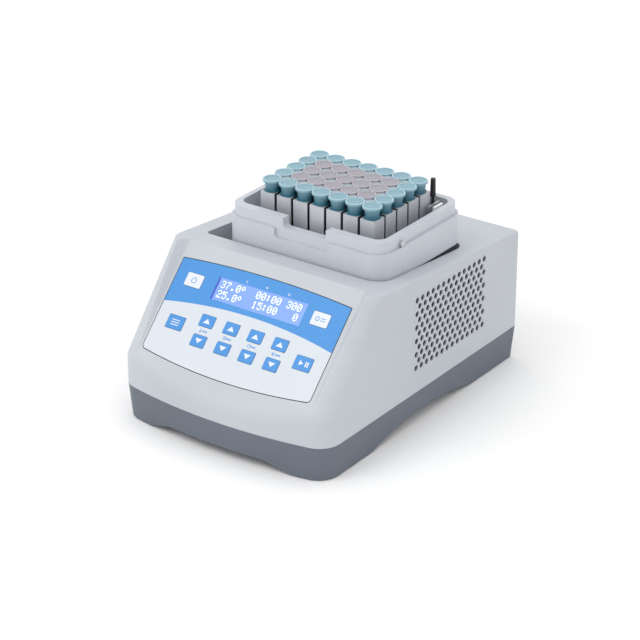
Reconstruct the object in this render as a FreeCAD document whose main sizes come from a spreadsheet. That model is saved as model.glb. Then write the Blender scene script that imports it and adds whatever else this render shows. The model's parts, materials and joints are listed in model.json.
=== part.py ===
import FreeCAD, Part
import math
import os

import Sketcher

# Dry block heater with an orbiting (shaking) heated well.
# Units are millimetres.  X is to the right seen from the front, Y to the rear, Z up.
# The origin is on the table, in the middle of the bounding box.

DIMENSIONS = [
    # casing
    ("case_width", 189.2, "outer width of casing and base"),
    ("front_y", -134.1, "foremost point of the bowed front"),
    ("rear_y", 132.1, "rear wall of the casing"),
    ("seam_z", 27.4, "height of the joint between base tray and upper case"),
    ("bow_radius", 400, "plan radius of the bowed front"),
    ("front_corner_radius", 18, "plan radius of the front corners"),
    ("rear_corner_radius", 5, "plan radius of the rear corners"),
    ("wall", 2.6, "wall thickness of the mouldings"),
    ("top_edge_y", -56.2, "front edge of the top surface"),
    ("top_edge_z", 123.07, "height of that edge"),
    ("top_tilt", 4.86, "fall of the top surface towards the rear, degrees"),
    ("panel_angle", 45.9, "tilt of the control panel from horizontal, degrees"),
    ("panel_y", -77.3, "y of the panel datum, the centre of the display"),
    ("panel_z", 101.3, "z of the panel datum"),
    ("knee_z", 40.3, "height of the knee between the front band and the slope"),
    ("rail_angle", 50.8, "tilt of the side rails from horizontal, degrees"),
    ("knee_radius", 14, "softness of that knee"),
    ("recess_half_width", 79.5, "half width of the panel recess at its floor"),
    ("recess_flare", 1.0, "sideways flare of the recess walls per mm of height"),
    ("recess_depth", 12, "height of the form that cuts the recess"),
    ("top_edge_radius", 1.8, "soft edge round the top surface"),
    # well in the top surface
    ("well_left", -79.2, "left wall of the well"),
    ("well_right", 80.4, "right wall of the well"),
    ("well_front", -38, "front wall of the well"),
    ("well_rear", 76.6, "rear wall of the well"),
    ("well_floor_z", 92, "underside of the well floor"),
    ("well_floor", 2.5, "thickness of the well floor"),
    ("well_left_radius", 4, "radius of the two left corners of the well"),
    ("well_right_radius", 14, "radius of the two right corners of the well"),
    ("neck_half_width", 61, "half width of the hole in the well floor"),
    ("neck_half_depth", 45, "half depth of the hole in the well floor"),
    # vents
    ("vent_front", -15, "front end of the vent grille"),
    ("vent_rear", 83, "rear end of the vent grille"),
    ("vent_low", 44, "lower edge of the vent grille"),
    ("vent_high", 106, "upper edge of the vent grille"),
    ("vent_thick", 1.2, "thickness of the vent grille"),
    ("vent_hole_radius", 2.35, "radius of one vent hole"),
    ("vent_pitch", 7.0, "hole spacing along a row"),
    ("vent_row_pitch", 5.48, "spacing of the rows"),
    ("vent_first_y", -11.5, "first hole of the top row"),
    ("vent_first_z", 102.5, "height of the top row"),
    # base tray
    ("skirt_lift", 0.8, "gap between the skirt and the table"),
    ("skirt_taper", 4.2, "taper of the skirt, degrees"),
    ("tray_floor_z", 10, "underside of the tray floor"),
    ("tray_floor", 3, "thickness of the tray floor"),
    ("side_arch_y", 1.5, "middle of the side arches"),
    ("side_arch_rise", 10.4, "rise of the side arches above the table"),
    ("side_arch_half", 69, "half length of the side arches"),
    ("front_arch_rise", 7.6, "rise of the front arch above the table"),
    ("front_arch_half", 68, "half length of the front arch"),
    ("front_arch_ramp", 25, "length of the front arch's sloping ends"),
    ("front_arch_round", 36, "radius where those ends meet its flat crown"),
    ("foot_x", 76, "feet, distance from the middle plane"),
    ("foot_front_y", -104, "front feet"),
    ("foot_rear_y", 108, "rear feet"),
    ("foot_radius", 9, "radius of a foot"),
    ("boss_x", 85.5, "case screws, distance from the middle plane"),
    ("boss_front_y", -92, "front case screws"),
    ("boss_rear_y", 96, "rear case screws"),
    ("boss_radius", 4.5, "radius of the screw bosses"),
    ("boss_height", 45, "height of the screw bosses"),
    ("case_screw_radius", 1.25, "shank radius of the case screws"),
    ("case_screw_length", 16, "shank length of the case screws"),
    # control panel, in the panel's own axes: u right, v up the slope, w outwards
    ("overlay_left", -77, "left edge of the membrane overlay"),
    ("overlay_right", 75, "right edge of the membrane overlay"),
    ("overlay_top_end", 15, "v of the top edge at the ends"),
    ("overlay_top_mid", 18.6, "v of the top edge in the middle"),
    ("overlay_low_end", -59, "v of the bottom edge at the ends"),
    ("overlay_low_mid", -65, "v of the bottom edge in the middle"),
    ("overlay_thick", 1.5, "overlay thickness"),
    ("overlay_gap", 0.6, "gap round the overlay"),
    ("window_left", -70, "left edge of the opening behind the overlay"),
    ("window_right", 67, "right edge of the opening behind the overlay"),
    ("window_low", -50, "lower edge of the opening behind the overlay"),
    ("window_high", 12, "upper edge of the opening behind the overlay"),
    ("lcd_width", 80.5, "visible width of the display"),
    ("lcd_height", 17.9, "visible height of the display"),
    ("key_gap", 0.25, "gap round each key"),
    ("key_proud", 0.35, "height of the keys above the overlay"),
    ("arrow_key_width", 12.4, "width of an arrow key"),
    ("arrow_key_height", 9.1, "height of an arrow key"),
    ("side_key_width", 14.7, "width of a side key"),
    ("side_key_height", 10.5, "height of a side key"),
    ("board_w", -6, "back face of the keypad board"),
    ("board_thick", 1.6, "circuit board thickness"),
    # rear panel
    ("inlet_x", 50, "centre of the power inlet"),
    ("fuse_x", 17, "centre of the fuse drawer"),
    ("switch_x", -20, "centre of the power switch"),
    ("rear_row_z", 55, "height of the rear fittings"),
    ("flange_thick", 2.0, "flanges that stand on the rear wall"),
    ("cutout_gap", 0.2, "gap round the rear fittings in their cut-outs"),
    ("inlet_half_width", 14, "inlet body"),
    ("inlet_half_height", 10, "inlet body"),
    ("fuse_half_width", 9, "fuse holder body"),
    ("fuse_half_height", 10, "fuse holder body"),
    ("switch_half_width", 9.5, "switch body"),
    ("switch_half_height", 13, "switch body"),
    ("rocker_tilt", 7, "rest angle of the rocker, degrees"),
    # electronics on the tray
    ("standoff_height", 7, "height of the board standoffs"),
    ("main_board_length", 116, "main board"),
    ("main_board_width", 60, "main board"),
    # fan
    ("fan_y", 34, "axis of the fan"),
    ("fan_z", 60, "axis of the fan"),
    ("fan_half", 30, "half width of the square fan frame"),
    ("fan_depth", 15, "depth of the fan"),
    ("fan_bore_radius", 28, "bore of the fan frame"),
    # shaken carrier
    ("block_x", 8.4, "centre of the heating block"),
    ("block_y", 19.5, "centre of the heating block"),
    ("orbit_radius", 1, "radius of the shaking orbit"),
    ("running_gap", 0.05, "radial clearance of a running pin"),
    ("motor_radius", 25, "radius of the motor can"),
    ("shaft_radius", 3, "radius of the motor shaft"),
    ("eccentric_radius", 12, "radius of the eccentric hub"),
    ("eccentric_pin_radius", 4, "radius of the eccentric's pin"),
    ("weight_radius", 26, "radius of the counterweight"),
    ("post_dx", 62, "bracket posts, distance from the block centre in x"),
    ("post_dy", 26, "bracket posts, distance from the block centre in y"),
    ("bush_radius", 5.5, "radius of the idler bushes"),
    ("bearing_radius", 11, "outer radius of the orbit bearing"),
    ("bracket_z", 60, "underside of the motor bracket"),
    ("bracket_thick", 3, "thickness of the motor bracket"),
    ("pin_radius", 3, "radius of the idler pins"),
    ("idler_dx", 54, "idler cranks, distance from the block centre in x"),
    ("idler_dy", 38, "idler cranks, distance from the block centre in y"),
    ("carrier_z", 79, "underside of the carrier plate"),
    ("carrier_thick", 3, "thickness of the carrier plate"),
    ("housing_half_width", 57, "half width of the heater housing"),
    ("housing_half_depth", 41, "half depth of the heater housing"),
    ("housing_wall", 2.5, "wall of the heater housing"),
    ("foam_height", 20, "height of the insulation"),
    ("mat_height", 1.5, "thickness of the heater mat"),
    ("collar_floor_z", 117, "underside of the collar floor"),
    ("collar_half_width", 68.7, "half width of the collar at the rim"),
    ("collar_half_depth", 53.1, "half depth of the collar at the rim"),
    ("collar_low_z", 116.5, "lower edge of the collar"),
    ("collar_step_z", 140, "ledge between the band and the rim"),
    ("collar_rim_z", 148.8, "top of the rim"),
    ("collar_band", 2.3, "how far the band stands out from the rim"),
    ("collar_rim_radius", 12, "plan radius of the rim"),
    ("collar_band_radius", 14, "plan radius of the band"),
    ("cavity_radius", 8, "plan radius of the collar's inside"),
    ("notch_radius", 3, "radius in the corners of the notch and the ledge"),
    ("stud_y", -8.5, "stud on the right of the collar"),
    ("stud_z", 142.3, "stud on the right of the collar"),
    ("stud_radius", 2.3, "radius of the stud"),
    ("cavity_left", -56, "inner faces of the collar"),
    ("cavity_right", 72, "inner faces of the collar"),
    ("cavity_front", -26, "inner faces of the collar"),
    ("cavity_rear", 67.5, "inner faces of the collar"),
    ("cavity_floor_z", 119.5, "top of the collar floor"),
    ("notch_left", -10, "left end of the notch in the front rim"),
    ("notch_right", 28.5, "right end of the notch in the front rim"),
    ("notch_z", 141, "bottom of that notch"),
    ("ledge_left", -16.5, "left end of the lowered ledge"),
    ("ledge_right", 32, "right end of the lowered ledge"),
    ("ledge_z", 132.6, "height of the lowered ledge"),
    ("clamp_x", 59.4, "axis of the clamp lever"),
    ("clamp_y", 60.6, "axis of the clamp lever"),
    ("clamp_z", 144.2, "pivot height of the clamp lever"),
    ("clamp_pin_radius", 0.9, "radius of the lever's pivot pin"),
    # block and tubes
    ("tube_pitch", 15, "spacing of the tube wells"),
    ("column_width", 12.7, "width of one column of the block"),
    ("block_low_z", 114, "underside of the block"),
    ("groove_z", 127, "bottom of the grooves between the columns"),
    ("block_top_z", 157.2, "top of the block"),
    ("well_r", 5.6, "radius of a tube well"),
    ("tube_gap", 0.2, "radial clearance of a tube in its well"),
    ("lid_radius", 7.4, "radius of a tube lid"),
    ("lid_low_z", 163.6, "underside of the tube lids"),
    ("tube_shank", 17.5, "length of a tube's straight part below the block's top"),
    ("tube_tip", 15.5, "length of a tube's tapered tip"),
    ("lid_top_z", 166.8, "top of the tube lids"),
]

COLUMNS = 7
ROWS = 5
VENT_ROWS = 11
VENT_COLUMNS = 14
FAN_BLADES = 7
IDLERS = ("idler_front_left", "idler_rear_left", "idler_front_right", "idler_rear_right")
ARROW_KEY_U = (-33.4, -11.3, 10.8, 32.8)
ARROW_KEY_V = {"up": -26, "down": -42}
SIDE_KEYS = {
    "key_side_left": (-59, -34),
    "key_side_right": (57, -34),
    "key_top_left": (-59.6, 0.5),
    "key_top_right": (55, 0.5),
}

doc = FreeCAD.newDocument("DryBlockHeater")
sheet = doc.addObject("Spreadsheet::Sheet", "Dims")
for row, (alias, value, note) in enumerate(DIMENSIONS, start=1):
    sheet.set(f"A{row}", note)
    sheet.set(f"B{row}", str(value))
    sheet.setAlias(f"B{row}", alias)
doc.recompute()

nodes = []


def dim(alias):
    """Value of one spreadsheet cell."""
    return float(sheet.get(alias))


def bind(obj, properties):
    """Bind properties to expressions; a bare alias is read from the sheet."""
    for name, expression in properties.items():
        obj.setExpression(name, str(expression))


def at(obj, x, y, z, axis="0; 0; 1", angle="0"):
    """Bind the whole placement: position, and a turn about one axis."""
    place = f"placement(vector({x}; {y}; {z}); rotation(vector({axis}); {angle}))"
    obj.setExpression("Placement", place)
    return obj


def on_panel(obj):
    """Put an object that is drawn in the panel's axes on the sloping panel."""
    return at(obj, "0", "Dims.panel_y", "Dims.panel_z", "1; 0; 0", "Dims.panel_angle")


def box(name, x, y, z, length, width, height):
    """Block with its lowest corner at x, y, z."""
    obj = doc.addObject("Part::Box", name)
    bind(obj, {"Length": length, "Width": width, "Height": height})
    return at(obj, x, y, z)


def slab(name, x, y, z, half_x, half_y, height):
    """Block centred on x, y with its underside at z."""
    return box(name, f"{x} - ({half_x})", f"{y} - ({half_y})", z,
               f"2 * ({half_x})", f"2 * ({half_y})", height)


def rod(name, x, y, z, radius, height, axis="Z"):
    """Cylinder that starts at x, y, z and runs along +X, +Y or +Z."""
    obj = doc.addObject("Part::Cylinder", name)
    bind(obj, {"Radius": radius, "Height": height})
    turns = {"X": ("0; 1; 0", "90"), "Y": ("1; 0; 0", "-90"), "Z": ("0; 0; 1", "0")}
    return at(obj, x, y, z, *turns[axis])


def cone(name, x, y, z, low_radius, high_radius, height):
    """Upright cone or taper."""
    obj = doc.addObject("Part::Cone", name)
    bind(obj, {"Radius1": low_radius, "Radius2": high_radius, "Height": height})
    return at(obj, x, y, z)


def fuse(name, parts):
    """One solid out of several that touch."""
    obj = doc.addObject("Part::MultiFuse", name)
    obj.Shapes = parts
    obj.Refine = True
    return obj


def cut(name, base, tools):
    """Base less one or more tools."""
    obj = doc.addObject("Part::Cut", name)
    obj.Base = base
    obj.Tool = tools[0] if len(tools) == 1 else fuse(f"{name}_tools", tools)
    obj.Refine = True
    return obj


def common(name, parts):
    """What several solids share."""
    obj = doc.addObject("Part::MultiCommon", name)
    obj.Shapes = parts
    return obj


def group(name, parts):
    """Separate solids kept in one node."""
    obj = doc.addObject("Part::Compound", name)
    obj.Links = parts
    return obj


def node(obj, label):
    """Give a finished sub-part its name."""
    obj.Label = label
    nodes.append(obj)
    return obj


def origin_plane(body, role):
    """One of the body's own origin planes."""
    return next(item for item in body.Origin.OriginFeatures if item.Role == role)


def sketch_on(body, role, name):
    """New sketch on one of the body's origin planes."""
    sketch = body.newObject("Sketcher::SketchObject", name)
    sketch.AttachmentSupport = [(origin_plane(body, role), "")]
    sketch.MapMode = "FlatFace"
    return sketch


def draw(sketch, points, arcs=None):
    """Closed outline through points given as pairs of expressions.

    arcs maps the index of a side to the expression of its radius; a positive
    radius bulges to the right of the direction of travel.
    """
    arcs = arcs or {}
    places = [FreeCAD.Vector(value_of(x), value_of(y), 0) for x, y in points]
    count = len(points)
    for index in range(count):
        start = places[index]
        end = places[(index + 1) % count]
        if index in arcs:
            sketch.addGeometry(bulged_arc(start, end, value_of(arcs[index])), False)
        else:
            sketch.addGeometry(Part.LineSegment(start, end), False)
    ends = [side_ends(sketch.Geometry[index], places[index]) for index in range(count)]
    for index in range(count):
        following = (index + 1) % count
        sketch.addConstraint(Sketcher.Constraint(
            "Coincident", index, ends[index][1], following, ends[following][0]))
    for index, (x, y) in enumerate(points):
        for kind, expression, value in (("X", x, places[index].x), ("Y", y, places[index].y)):
            constraint = Sketcher.Constraint(
                f"Distance{kind}", -1, 1, index, ends[index][0], value)
            number = sketch.addConstraint(constraint)
            name = f"{kind.lower()}_{index}"
            sketch.renameConstraint(number, name)
            sketch.setExpression(f"Constraints.{name}", str(expression))
    for index, radius in arcs.items():
        number = sketch.addConstraint(Sketcher.Constraint("Radius", index, value_of(radius)))
        sketch.renameConstraint(number, f"radius_{index}")
        sketch.setExpression(f"Constraints.radius_{index}", str(radius))
    return sketch


def value_of(expression):
    """Number that an expression on the sheet stands for."""
    return float(sheet.evalExpression(str(expression).replace("Dims.", "")))


def bulged_arc(start, end, radius):
    """Arc from start to end that bulges to the right of its direction."""
    chord = end.sub(start)
    outward = FreeCAD.Vector(chord.y, -chord.x, 0).normalize()
    rise = radius - math.sqrt(radius ** 2 - (chord.Length / 2) ** 2)
    crown = start.add(end).multiply(0.5).add(outward.multiply(rise))
    return Part.Arc(start, crown, end)


def side_ends(side, start):
    """Numbers of a side's first and last point as the outline is walked."""
    return (1, 2) if side.StartPoint.distanceToPoint(start) < 1e-6 else (2, 1)


def pad(body, sketch, length, reverse=False, middle=False, taper=None):
    """Pad a sketch by an expression."""
    feature = body.newObject("PartDesign::Pad", f"{body.Name}_pad")
    feature.Profile = sketch
    feature.Reversed = reverse
    feature.Midplane = middle
    feature.setExpression("Length", str(length))
    if taper:
        feature.setExpression("TaperAngle", taper)
    return feature


def pocket_across(body, sketch, length):
    """Pocket a sketch to both sides of its plane."""
    feature = body.newObject("PartDesign::Pocket", f"{body.Name}_pocket")
    feature.Profile = sketch
    feature.Midplane = True
    feature.setExpression("Length", str(length))
    return feature


def round_edges(body, base, radius, chooser, name):
    """Fillet the edges of a feature that the chooser picks."""
    doc.recompute()
    picked = [f"Edge{number}" for number, edge in enumerate(base.Shape.Edges, start=1) if chooser(edge)]
    feature = body.newObject("PartDesign::Fillet", f"{body.Name}_{name}")
    feature.Base = (base, picked)
    feature.setExpression("Radius", str(radius))
    return feature


def is_upright(edge):
    """True for a straight vertical edge."""
    ends = [vertex.Point for vertex in edge.Vertexes]
    return len(ends) == 2 and ends[0].sub(ends[1]).cross(FreeCAD.Vector(0, 0, 1)).Length < 0.01


def is_along_y(edge):
    """True for a straight edge that runs front to rear."""
    ends = [vertex.Point for vertex in edge.Vertexes]
    return len(ends) == 2 and ends[0].sub(ends[1]).cross(FreeCAD.Vector(0, 1, 0)).Length < 0.01


def rises(edge):
    """True for an edge whose ends are at different heights and the same corner."""
    ends = [vertex.Point for vertex in edge.Vertexes]
    return len(ends) == 2 and abs(ends[0].z - ends[1].z) > 5


def rounded_slab(name, x, y, z, half_x, half_y, height, radius):
    """Upright block with rounded corners, as a body of its own."""
    body = doc.addObject("PartDesign::Body", name)
    sketch = sketch_on(body, "XY_Plane", f"{name}_plan")
    draw(sketch, [
        (f"-({half_x})", f"-({half_y})"),
        (f"{half_x}", f"-({half_y})"),
        (f"{half_x}", f"{half_y}"),
        (f"-({half_x})", f"{half_y}"),
    ])
    base = pad(body, sketch, height)
    round_edges(body, base, radius, is_upright, "corners")
    return at(body, x, y, z)


# ---------------------------------------------------------------- casing

PANEL_RISE = "tan(Dims.panel_angle)"
TOP_FALL = "tan(Dims.top_tilt)"
FLOOR = "Dims.tray_floor_z + Dims.tray_floor"


def plan_outline(inset):
    """Plan of the casing: straight sides and rear, bowed front."""
    half = f"(Dims.case_width / 2 - ({inset}))"
    bow = "Dims.bow_radius - sqrt(Dims.bow_radius ^ 2 - (Dims.case_width / 2) ^ 2)"
    shoulder = f"Dims.front_y + ({inset}) + {bow}"
    return [
        (f"-{half}", shoulder),
        (half, shoulder),
        (half, f"Dims.rear_y - ({inset})"),
        (f"-{half}", f"Dims.rear_y - ({inset})"),
    ]


def round_plan(body, base, inset):
    """Round the four plan corners of a casing form."""
    front = round_edges(body, base, f"Dims.front_corner_radius - ({inset})",
                        lambda edge: rises(edge) and edge.CenterOfMass.y < 0, "front_corners")
    return round_edges(body, front, f"Dims.rear_corner_radius - ({inset})",
                       lambda edge: rises(edge) and edge.CenterOfMass.y > dim("rear_y") - 12,
                       "rear_corners")


def panel_height(y, depth="0"):
    """Height of the panel plane, or a plane that lies deeper, at y."""
    return f"Dims.panel_z + {PANEL_RISE} * ({y} - Dims.panel_y) - {depth} / cos(Dims.panel_angle)"


def top_height(y, depth="0"):
    """Height of the top plane, or a plane that lies deeper, at y."""
    return f"Dims.top_edge_z - {TOP_FALL} * ({y} - Dims.top_edge_y) - {depth} / cos(Dims.top_tilt)"


def leaning_form(name, inset="0"):
    """Prism with a rounded plan whose front leans back with the slope of the rails.

    Its front plane touches the circle that softens the knee of the front.
    """
    centre_z = ("(Dims.knee_z - Dims.knee_radius * (1 - sin(Dims.rail_angle))"
                " / cos(Dims.rail_angle))")
    half = f"(Dims.case_width / 2 - {inset})"
    radius = f"(Dims.front_corner_radius - {inset})"
    rear = "Dims.rear_y + 20"
    sections = []
    for tag, z in (("low", "20"), ("high", "140")):
        front = (f"Dims.front_y + Dims.knee_radius + ({z} - {centre_z}) / tan(Dims.rail_angle)"
                 f" - (Dims.knee_radius - {inset}) / sin(Dims.rail_angle)")
        section = doc.addObject("Sketcher::SketchObject", f"{name}_{tag}")
        draw(section, [
            (f"-{half} + {radius}", front),
            (f"{half} - {radius}", front),
            (half, f"{front} + {radius}"),
            (half, rear),
            (f"-{half}", rear),
            (f"-{half}", f"{front} + {radius}"),
        ], {1: radius, 5: radius})
        at(section, "0", "0", z)
        sections.append(section)
    loft = doc.addObject("Part::Loft", name)
    loft.Sections = sections
    loft.Solid = True
    loft.Ruled = True
    return loft


def outer_form():
    """Outside of the upper case before anything is taken out of it."""
    body = doc.addObject("PartDesign::Body", "outer_plan_form")
    plan = sketch_on(body, "XY_Plane", "outer_plan")
    draw(plan, plan_outline("0"), {0: "Dims.bow_radius"})
    plan.setExpression("AttachmentOffset", "placement(vector(0; 0; Dims.seam_z); rotation(0; 0; 0))")
    round_plan(body, pad(body, plan, "110"), "0")
    side = sketch_on(body, "YZ_Plane", "outer_side")
    front = "Dims.front_y - 20"
    rear = "Dims.rear_y + 20"
    draw(side, [(front, top_height(front)), (rear, top_height(rear)), (rear, "180"), (front, "180")])
    pocket_across(body, side, "300")
    shaped = common("outer_shaped", [body, leaning_form("outer_lean")])
    softened = rounded("outer_knee", shaped, "Dims.knee_radius", is_knee_edge)
    return rounded("outer_form", softened, "Dims.top_edge_radius", is_top_edge)


def rounded(name, base, size, chooser):
    """Fillet of the chosen edges of any object, with a radius worked out from the sheet."""
    doc.recompute()
    obj = doc.addObject("Part::Fillet", name)
    obj.Base = base
    radius = value_of(size)
    obj.Edges = [(number, radius, radius)
                 for number, edge in enumerate(base.Shape.Edges, start=1) if chooser(edge)]
    return obj


def is_top_edge(edge):
    """Edges that lie in the top plane."""
    fall = math.tan(math.radians(dim("top_tilt")))
    return all(abs(dim("top_edge_z") - fall * (vertex.Y - dim("top_edge_y")) - vertex.Z) < 0.05
               for vertex in edge.Vertexes)


def is_knee_edge(edge):
    """Edges where the slope of the rails meets the upright front and its corners."""
    heights = [vertex.Z for vertex in edge.Vertexes]
    in_front = edge.CenterOfMass.y < dim("front_y") + 30
    return in_front and min(heights) > dim("knee_z") - 4 and max(heights) < dim("knee_z") + 26


def inner_form():
    """Inside of the upper case."""
    body = doc.addObject("PartDesign::Body", "inner_plan_form")
    plan = sketch_on(body, "XY_Plane", "inner_plan")
    draw(plan, plan_outline("Dims.wall"), {0: "Dims.bow_radius - Dims.wall"})
    plan.setExpression("AttachmentOffset", "placement(vector(0; 0; Dims.seam_z - 1); rotation(0; 0; 0))")
    round_plan(body, pad(body, plan, "110"), "Dims.wall")
    side = sketch_on(body, "YZ_Plane", "inner_side")
    depth = "(Dims.wall + Dims.overlay_thick)"
    front = "Dims.front_y - 20"
    rear = "Dims.rear_y + 20"
    # the panel line and the top line cross where their heights are the same
    knee = (f"Dims.top_edge_y + ({depth} / cos(Dims.panel_angle) - Dims.wall / cos(Dims.top_tilt))"
            f" / ({PANEL_RISE} + {TOP_FALL})")
    draw(side, [
        (front, panel_height(front, depth)),
        (knee, panel_height(f"({knee})", depth)),
        (rear, top_height(rear, "Dims.wall")),
        (rear, "180"),
        (front, "180"),
    ])
    pocket_across(body, side, "300")
    return common("inner_form", [body, leaning_form("inner_lean", "Dims.wall")])


def panel_recess():
    """Sunken floor of the panel between the side rails, open at the top."""
    body = doc.addObject("PartDesign::Body", "panel_recess")
    section = sketch_on(body, "XZ_Plane", "recess_section")
    flared = "Dims.recess_half_width + Dims.recess_depth * Dims.recess_flare"
    draw(section, [
        ("-Dims.recess_half_width", "0"),
        ("Dims.recess_half_width", "0"),
        (flared, "Dims.recess_depth"),
        (f"-({flared})", "Dims.recess_depth"),
    ])
    pad(body, section, "180", middle=True)
    return on_panel(body)


def overlay_outline(gap):
    """Outline of the membrane overlay in the panel's axes."""
    return [
        (f"Dims.overlay_left - {gap}", f"Dims.overlay_low_end - {gap}"),
        (f"Dims.overlay_right + {gap}", f"Dims.overlay_low_end - {gap}"),
        (f"Dims.overlay_right + {gap}", f"Dims.overlay_top_end + {gap}"),
        (f"Dims.overlay_left - {gap}", f"Dims.overlay_top_end + {gap}"),
    ]


def arc_radius(rise, span):
    """Expression of the radius of an arc from its rise and its chord."""
    return f"(({span} / 2) ^ 2 + ({rise}) ^ 2) / (2 * ({rise}))"


def overlay_plate(name, gap):
    """Plate of the overlay's outline whose top face is in the panel plane."""
    body = doc.addObject("PartDesign::Body", name)
    sketch = sketch_on(body, "XY_Plane", f"{name}_outline")
    span = f"(Dims.overlay_right - Dims.overlay_left + 2 * {gap})"
    draw(sketch, overlay_outline(gap), {
        0: arc_radius("Dims.overlay_low_end - Dims.overlay_low_mid", span),
        2: arc_radius("Dims.overlay_top_mid - Dims.overlay_top_end", span),
    })
    base = pad(body, sketch, "Dims.overlay_thick", reverse=True)
    low = dim("overlay_low_end")
    round_edges(body, base, f"3 + {gap}",
                lambda edge: is_upright(edge) and abs(edge.CenterOfMass.y - low) < 2, "corners")
    return on_panel(body)


def panel_window():
    """Opening in the case behind the overlay, for the display and the keys."""
    return on_panel_box("panel_window", "Dims.window_left", "Dims.window_low", "-12",
                        "Dims.window_right - Dims.window_left",
                        "Dims.window_high - Dims.window_low", "14")


def on_panel_box(name, u, v, w, length, width, height):
    """Block whose lowest corner is at u, v, w in the panel's axes."""
    obj = doc.addObject("Part::Box", name)
    bind(obj, {"Length": length, "Width": width, "Height": height})
    return at_panel(obj, u, v, w)


def at_panel(obj, u, v, w):
    """Bind the placement of an object to a point in the panel's axes."""
    y = f"Dims.panel_y + ({v}) * cos(Dims.panel_angle) - ({w}) * sin(Dims.panel_angle)"
    z = f"Dims.panel_z + ({v}) * sin(Dims.panel_angle) + ({w}) * cos(Dims.panel_angle)"
    return at(obj, u, y, z, "1; 0; 0", "Dims.panel_angle")


def on_panel_rod(name, u, v, w, radius, height):
    """Cylinder along the panel's outward normal."""
    obj = doc.addObject("Part::Cylinder", name)
    bind(obj, {"Radius": radius, "Height": height})
    return at_panel(obj, u, v, w)


def well_slab(name, grow, z, height):
    """Block of the well's plan, larger by grow: tight corners left, wide ones right."""
    middle = "(Dims.well_front + Dims.well_rear) / 2"
    reach = "(Dims.well_right - Dims.well_left) * 3 / 8"
    parts = []
    for side, label in ((1, "left"), (-1, "right")):
        parts.append(rounded_slab(
            f"{name}_{label}", f"Dims.well_{label} + {side} * {reach}", middle, z,
            f"{reach} + {grow}", f"(Dims.well_rear - Dims.well_front) / 2 + {grow}", height,
            f"Dims.well_{label}_radius + {grow}"))
    return fuse(name, parts)


def case_bosses():
    """Screw bosses of the case, with the ribs that join them to the side walls."""
    bosses = []
    for side in (-1, 1):
        for end in ("front", "rear"):
            tag = f"{end}_{'left' if side < 0 else 'right'}"
            x = f"{side} * Dims.boss_x"
            y = f"Dims.boss_{end}_y"
            rib_x = "Dims.boss_x" if side > 0 else "-Dims.case_width / 2 + Dims.wall / 2"
            column = rod(f"boss_{tag}", x, y, FLOOR, "Dims.boss_radius", "Dims.boss_height")
            rib = box(f"boss_rib_{tag}", rib_x, f"{y} - 2", "Dims.seam_z + 2",
                      "Dims.case_width / 2 - Dims.wall / 2 - Dims.boss_x", "4",
                      f"Dims.boss_height - 2 - Dims.seam_z + {FLOOR}")
            hole = rod(f"boss_hole_{tag}", x, y, "Dims.tray_floor_z", "Dims.case_screw_radius",
                       "Dims.case_screw_length")
            bosses.append((column, rib, hole))
    return bosses


def vent_window(side, name, thick="Dims.wall"):
    """Rectangle of one side wall that the grille fills, flush with the outside."""
    x = f"Dims.case_width / 2 - {thick}" if side > 0 else "-Dims.case_width / 2"
    return box(name, x, "Dims.vent_front", "Dims.vent_low", thick,
               "Dims.vent_rear - Dims.vent_front", "Dims.vent_high - Dims.vent_low")


def upper_case():
    """Upper case: a thin moulding with the well, the panel and the vents."""
    outer = outer_form()
    bosses = case_bosses()
    shell = cut("case_shell", outer, [inner_form()])
    well_wall = common("well_wall", [
        well_slab("well_block", "Dims.wall", "Dims.well_floor_z", "50"), outer])
    solid = fuse("case_solid", [shell, well_wall] + [item for boss in bosses for item in boss[:2]])
    tools = [
        panel_recess(),
        overlay_plate("overlay_seat", "Dims.overlay_gap"),
        panel_window(),
        well_slab("well_void", "0", "Dims.well_floor_z + Dims.well_floor", "50"),
        rounded_slab("well_neck", "Dims.block_x", "Dims.block_y", "Dims.well_floor_z - 1",
                     "Dims.neck_half_width", "Dims.neck_half_depth", "10", "6"),
        vent_window(-1, "vent_window_left"),
        vent_window(1, "vent_window_right"),
        rear_cutout("inlet"),
        rear_cutout("fuse"),
        rear_cutout("switch"),
    ] + [boss[2] for boss in bosses] + keypad_screw_holes()
    return node(cut("upper_case_cut", solid, tools), "upper_case")


def rear_cutout(place):
    """Rectangular opening through the rear wall for one fitting."""
    return slab(f"{place}_cutout", f"Dims.{place}_x", "Dims.rear_y",
                f"Dims.rear_row_z - Dims.{place}_half_height - Dims.cutout_gap",
                f"Dims.{place}_half_width + Dims.cutout_gap", "10",
                f"2 * (Dims.{place}_half_height + Dims.cutout_gap)")


def vent_grille(side, label):
    """Perforated panel of one side wall, flush with the case."""
    panel = vent_window(side, f"{label}_panel", "Dims.vent_thick")
    x = "Dims.case_width / 2 - Dims.vent_thick - 1" if side > 0 else "-Dims.case_width / 2 - 1"
    holes = []
    for row in range(VENT_ROWS):
        for column in range(VENT_COLUMNS - row % 2):
            y = f"Dims.vent_first_y + Dims.vent_pitch * {column + 0.5 * (row % 2)}"
            z = f"Dims.vent_first_z - Dims.vent_row_pitch * {row}"
            holes.append(rod(f"{label}_hole_{row}_{column}", x, y, z, "Dims.vent_hole_radius",
                             "Dims.vent_thick + 2", "X"))
    obj = doc.addObject("Part::Cut", f"{label}_cut")
    obj.Base = panel
    obj.Tool = group(f"{label}_holes", holes)
    return node(obj, label)


# ---------------------------------------------------------------- base

def skirt_form(name, inset, z, height):
    """Tapered plan of the base, from the seam downwards."""
    body = doc.addObject("PartDesign::Body", name)
    plan = sketch_on(body, "XY_Plane", f"{name}_plan")
    draw(plan, plan_outline(inset), {0: f"Dims.bow_radius - {inset}"})
    plan.setExpression("AttachmentOffset", f"placement(vector(0; 0; {z}); rotation(0; 0; 0))")
    base = pad(body, plan, height, reverse=True, taper="-Dims.skirt_taper")
    round_plan(body, base, inset)
    return body


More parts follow.
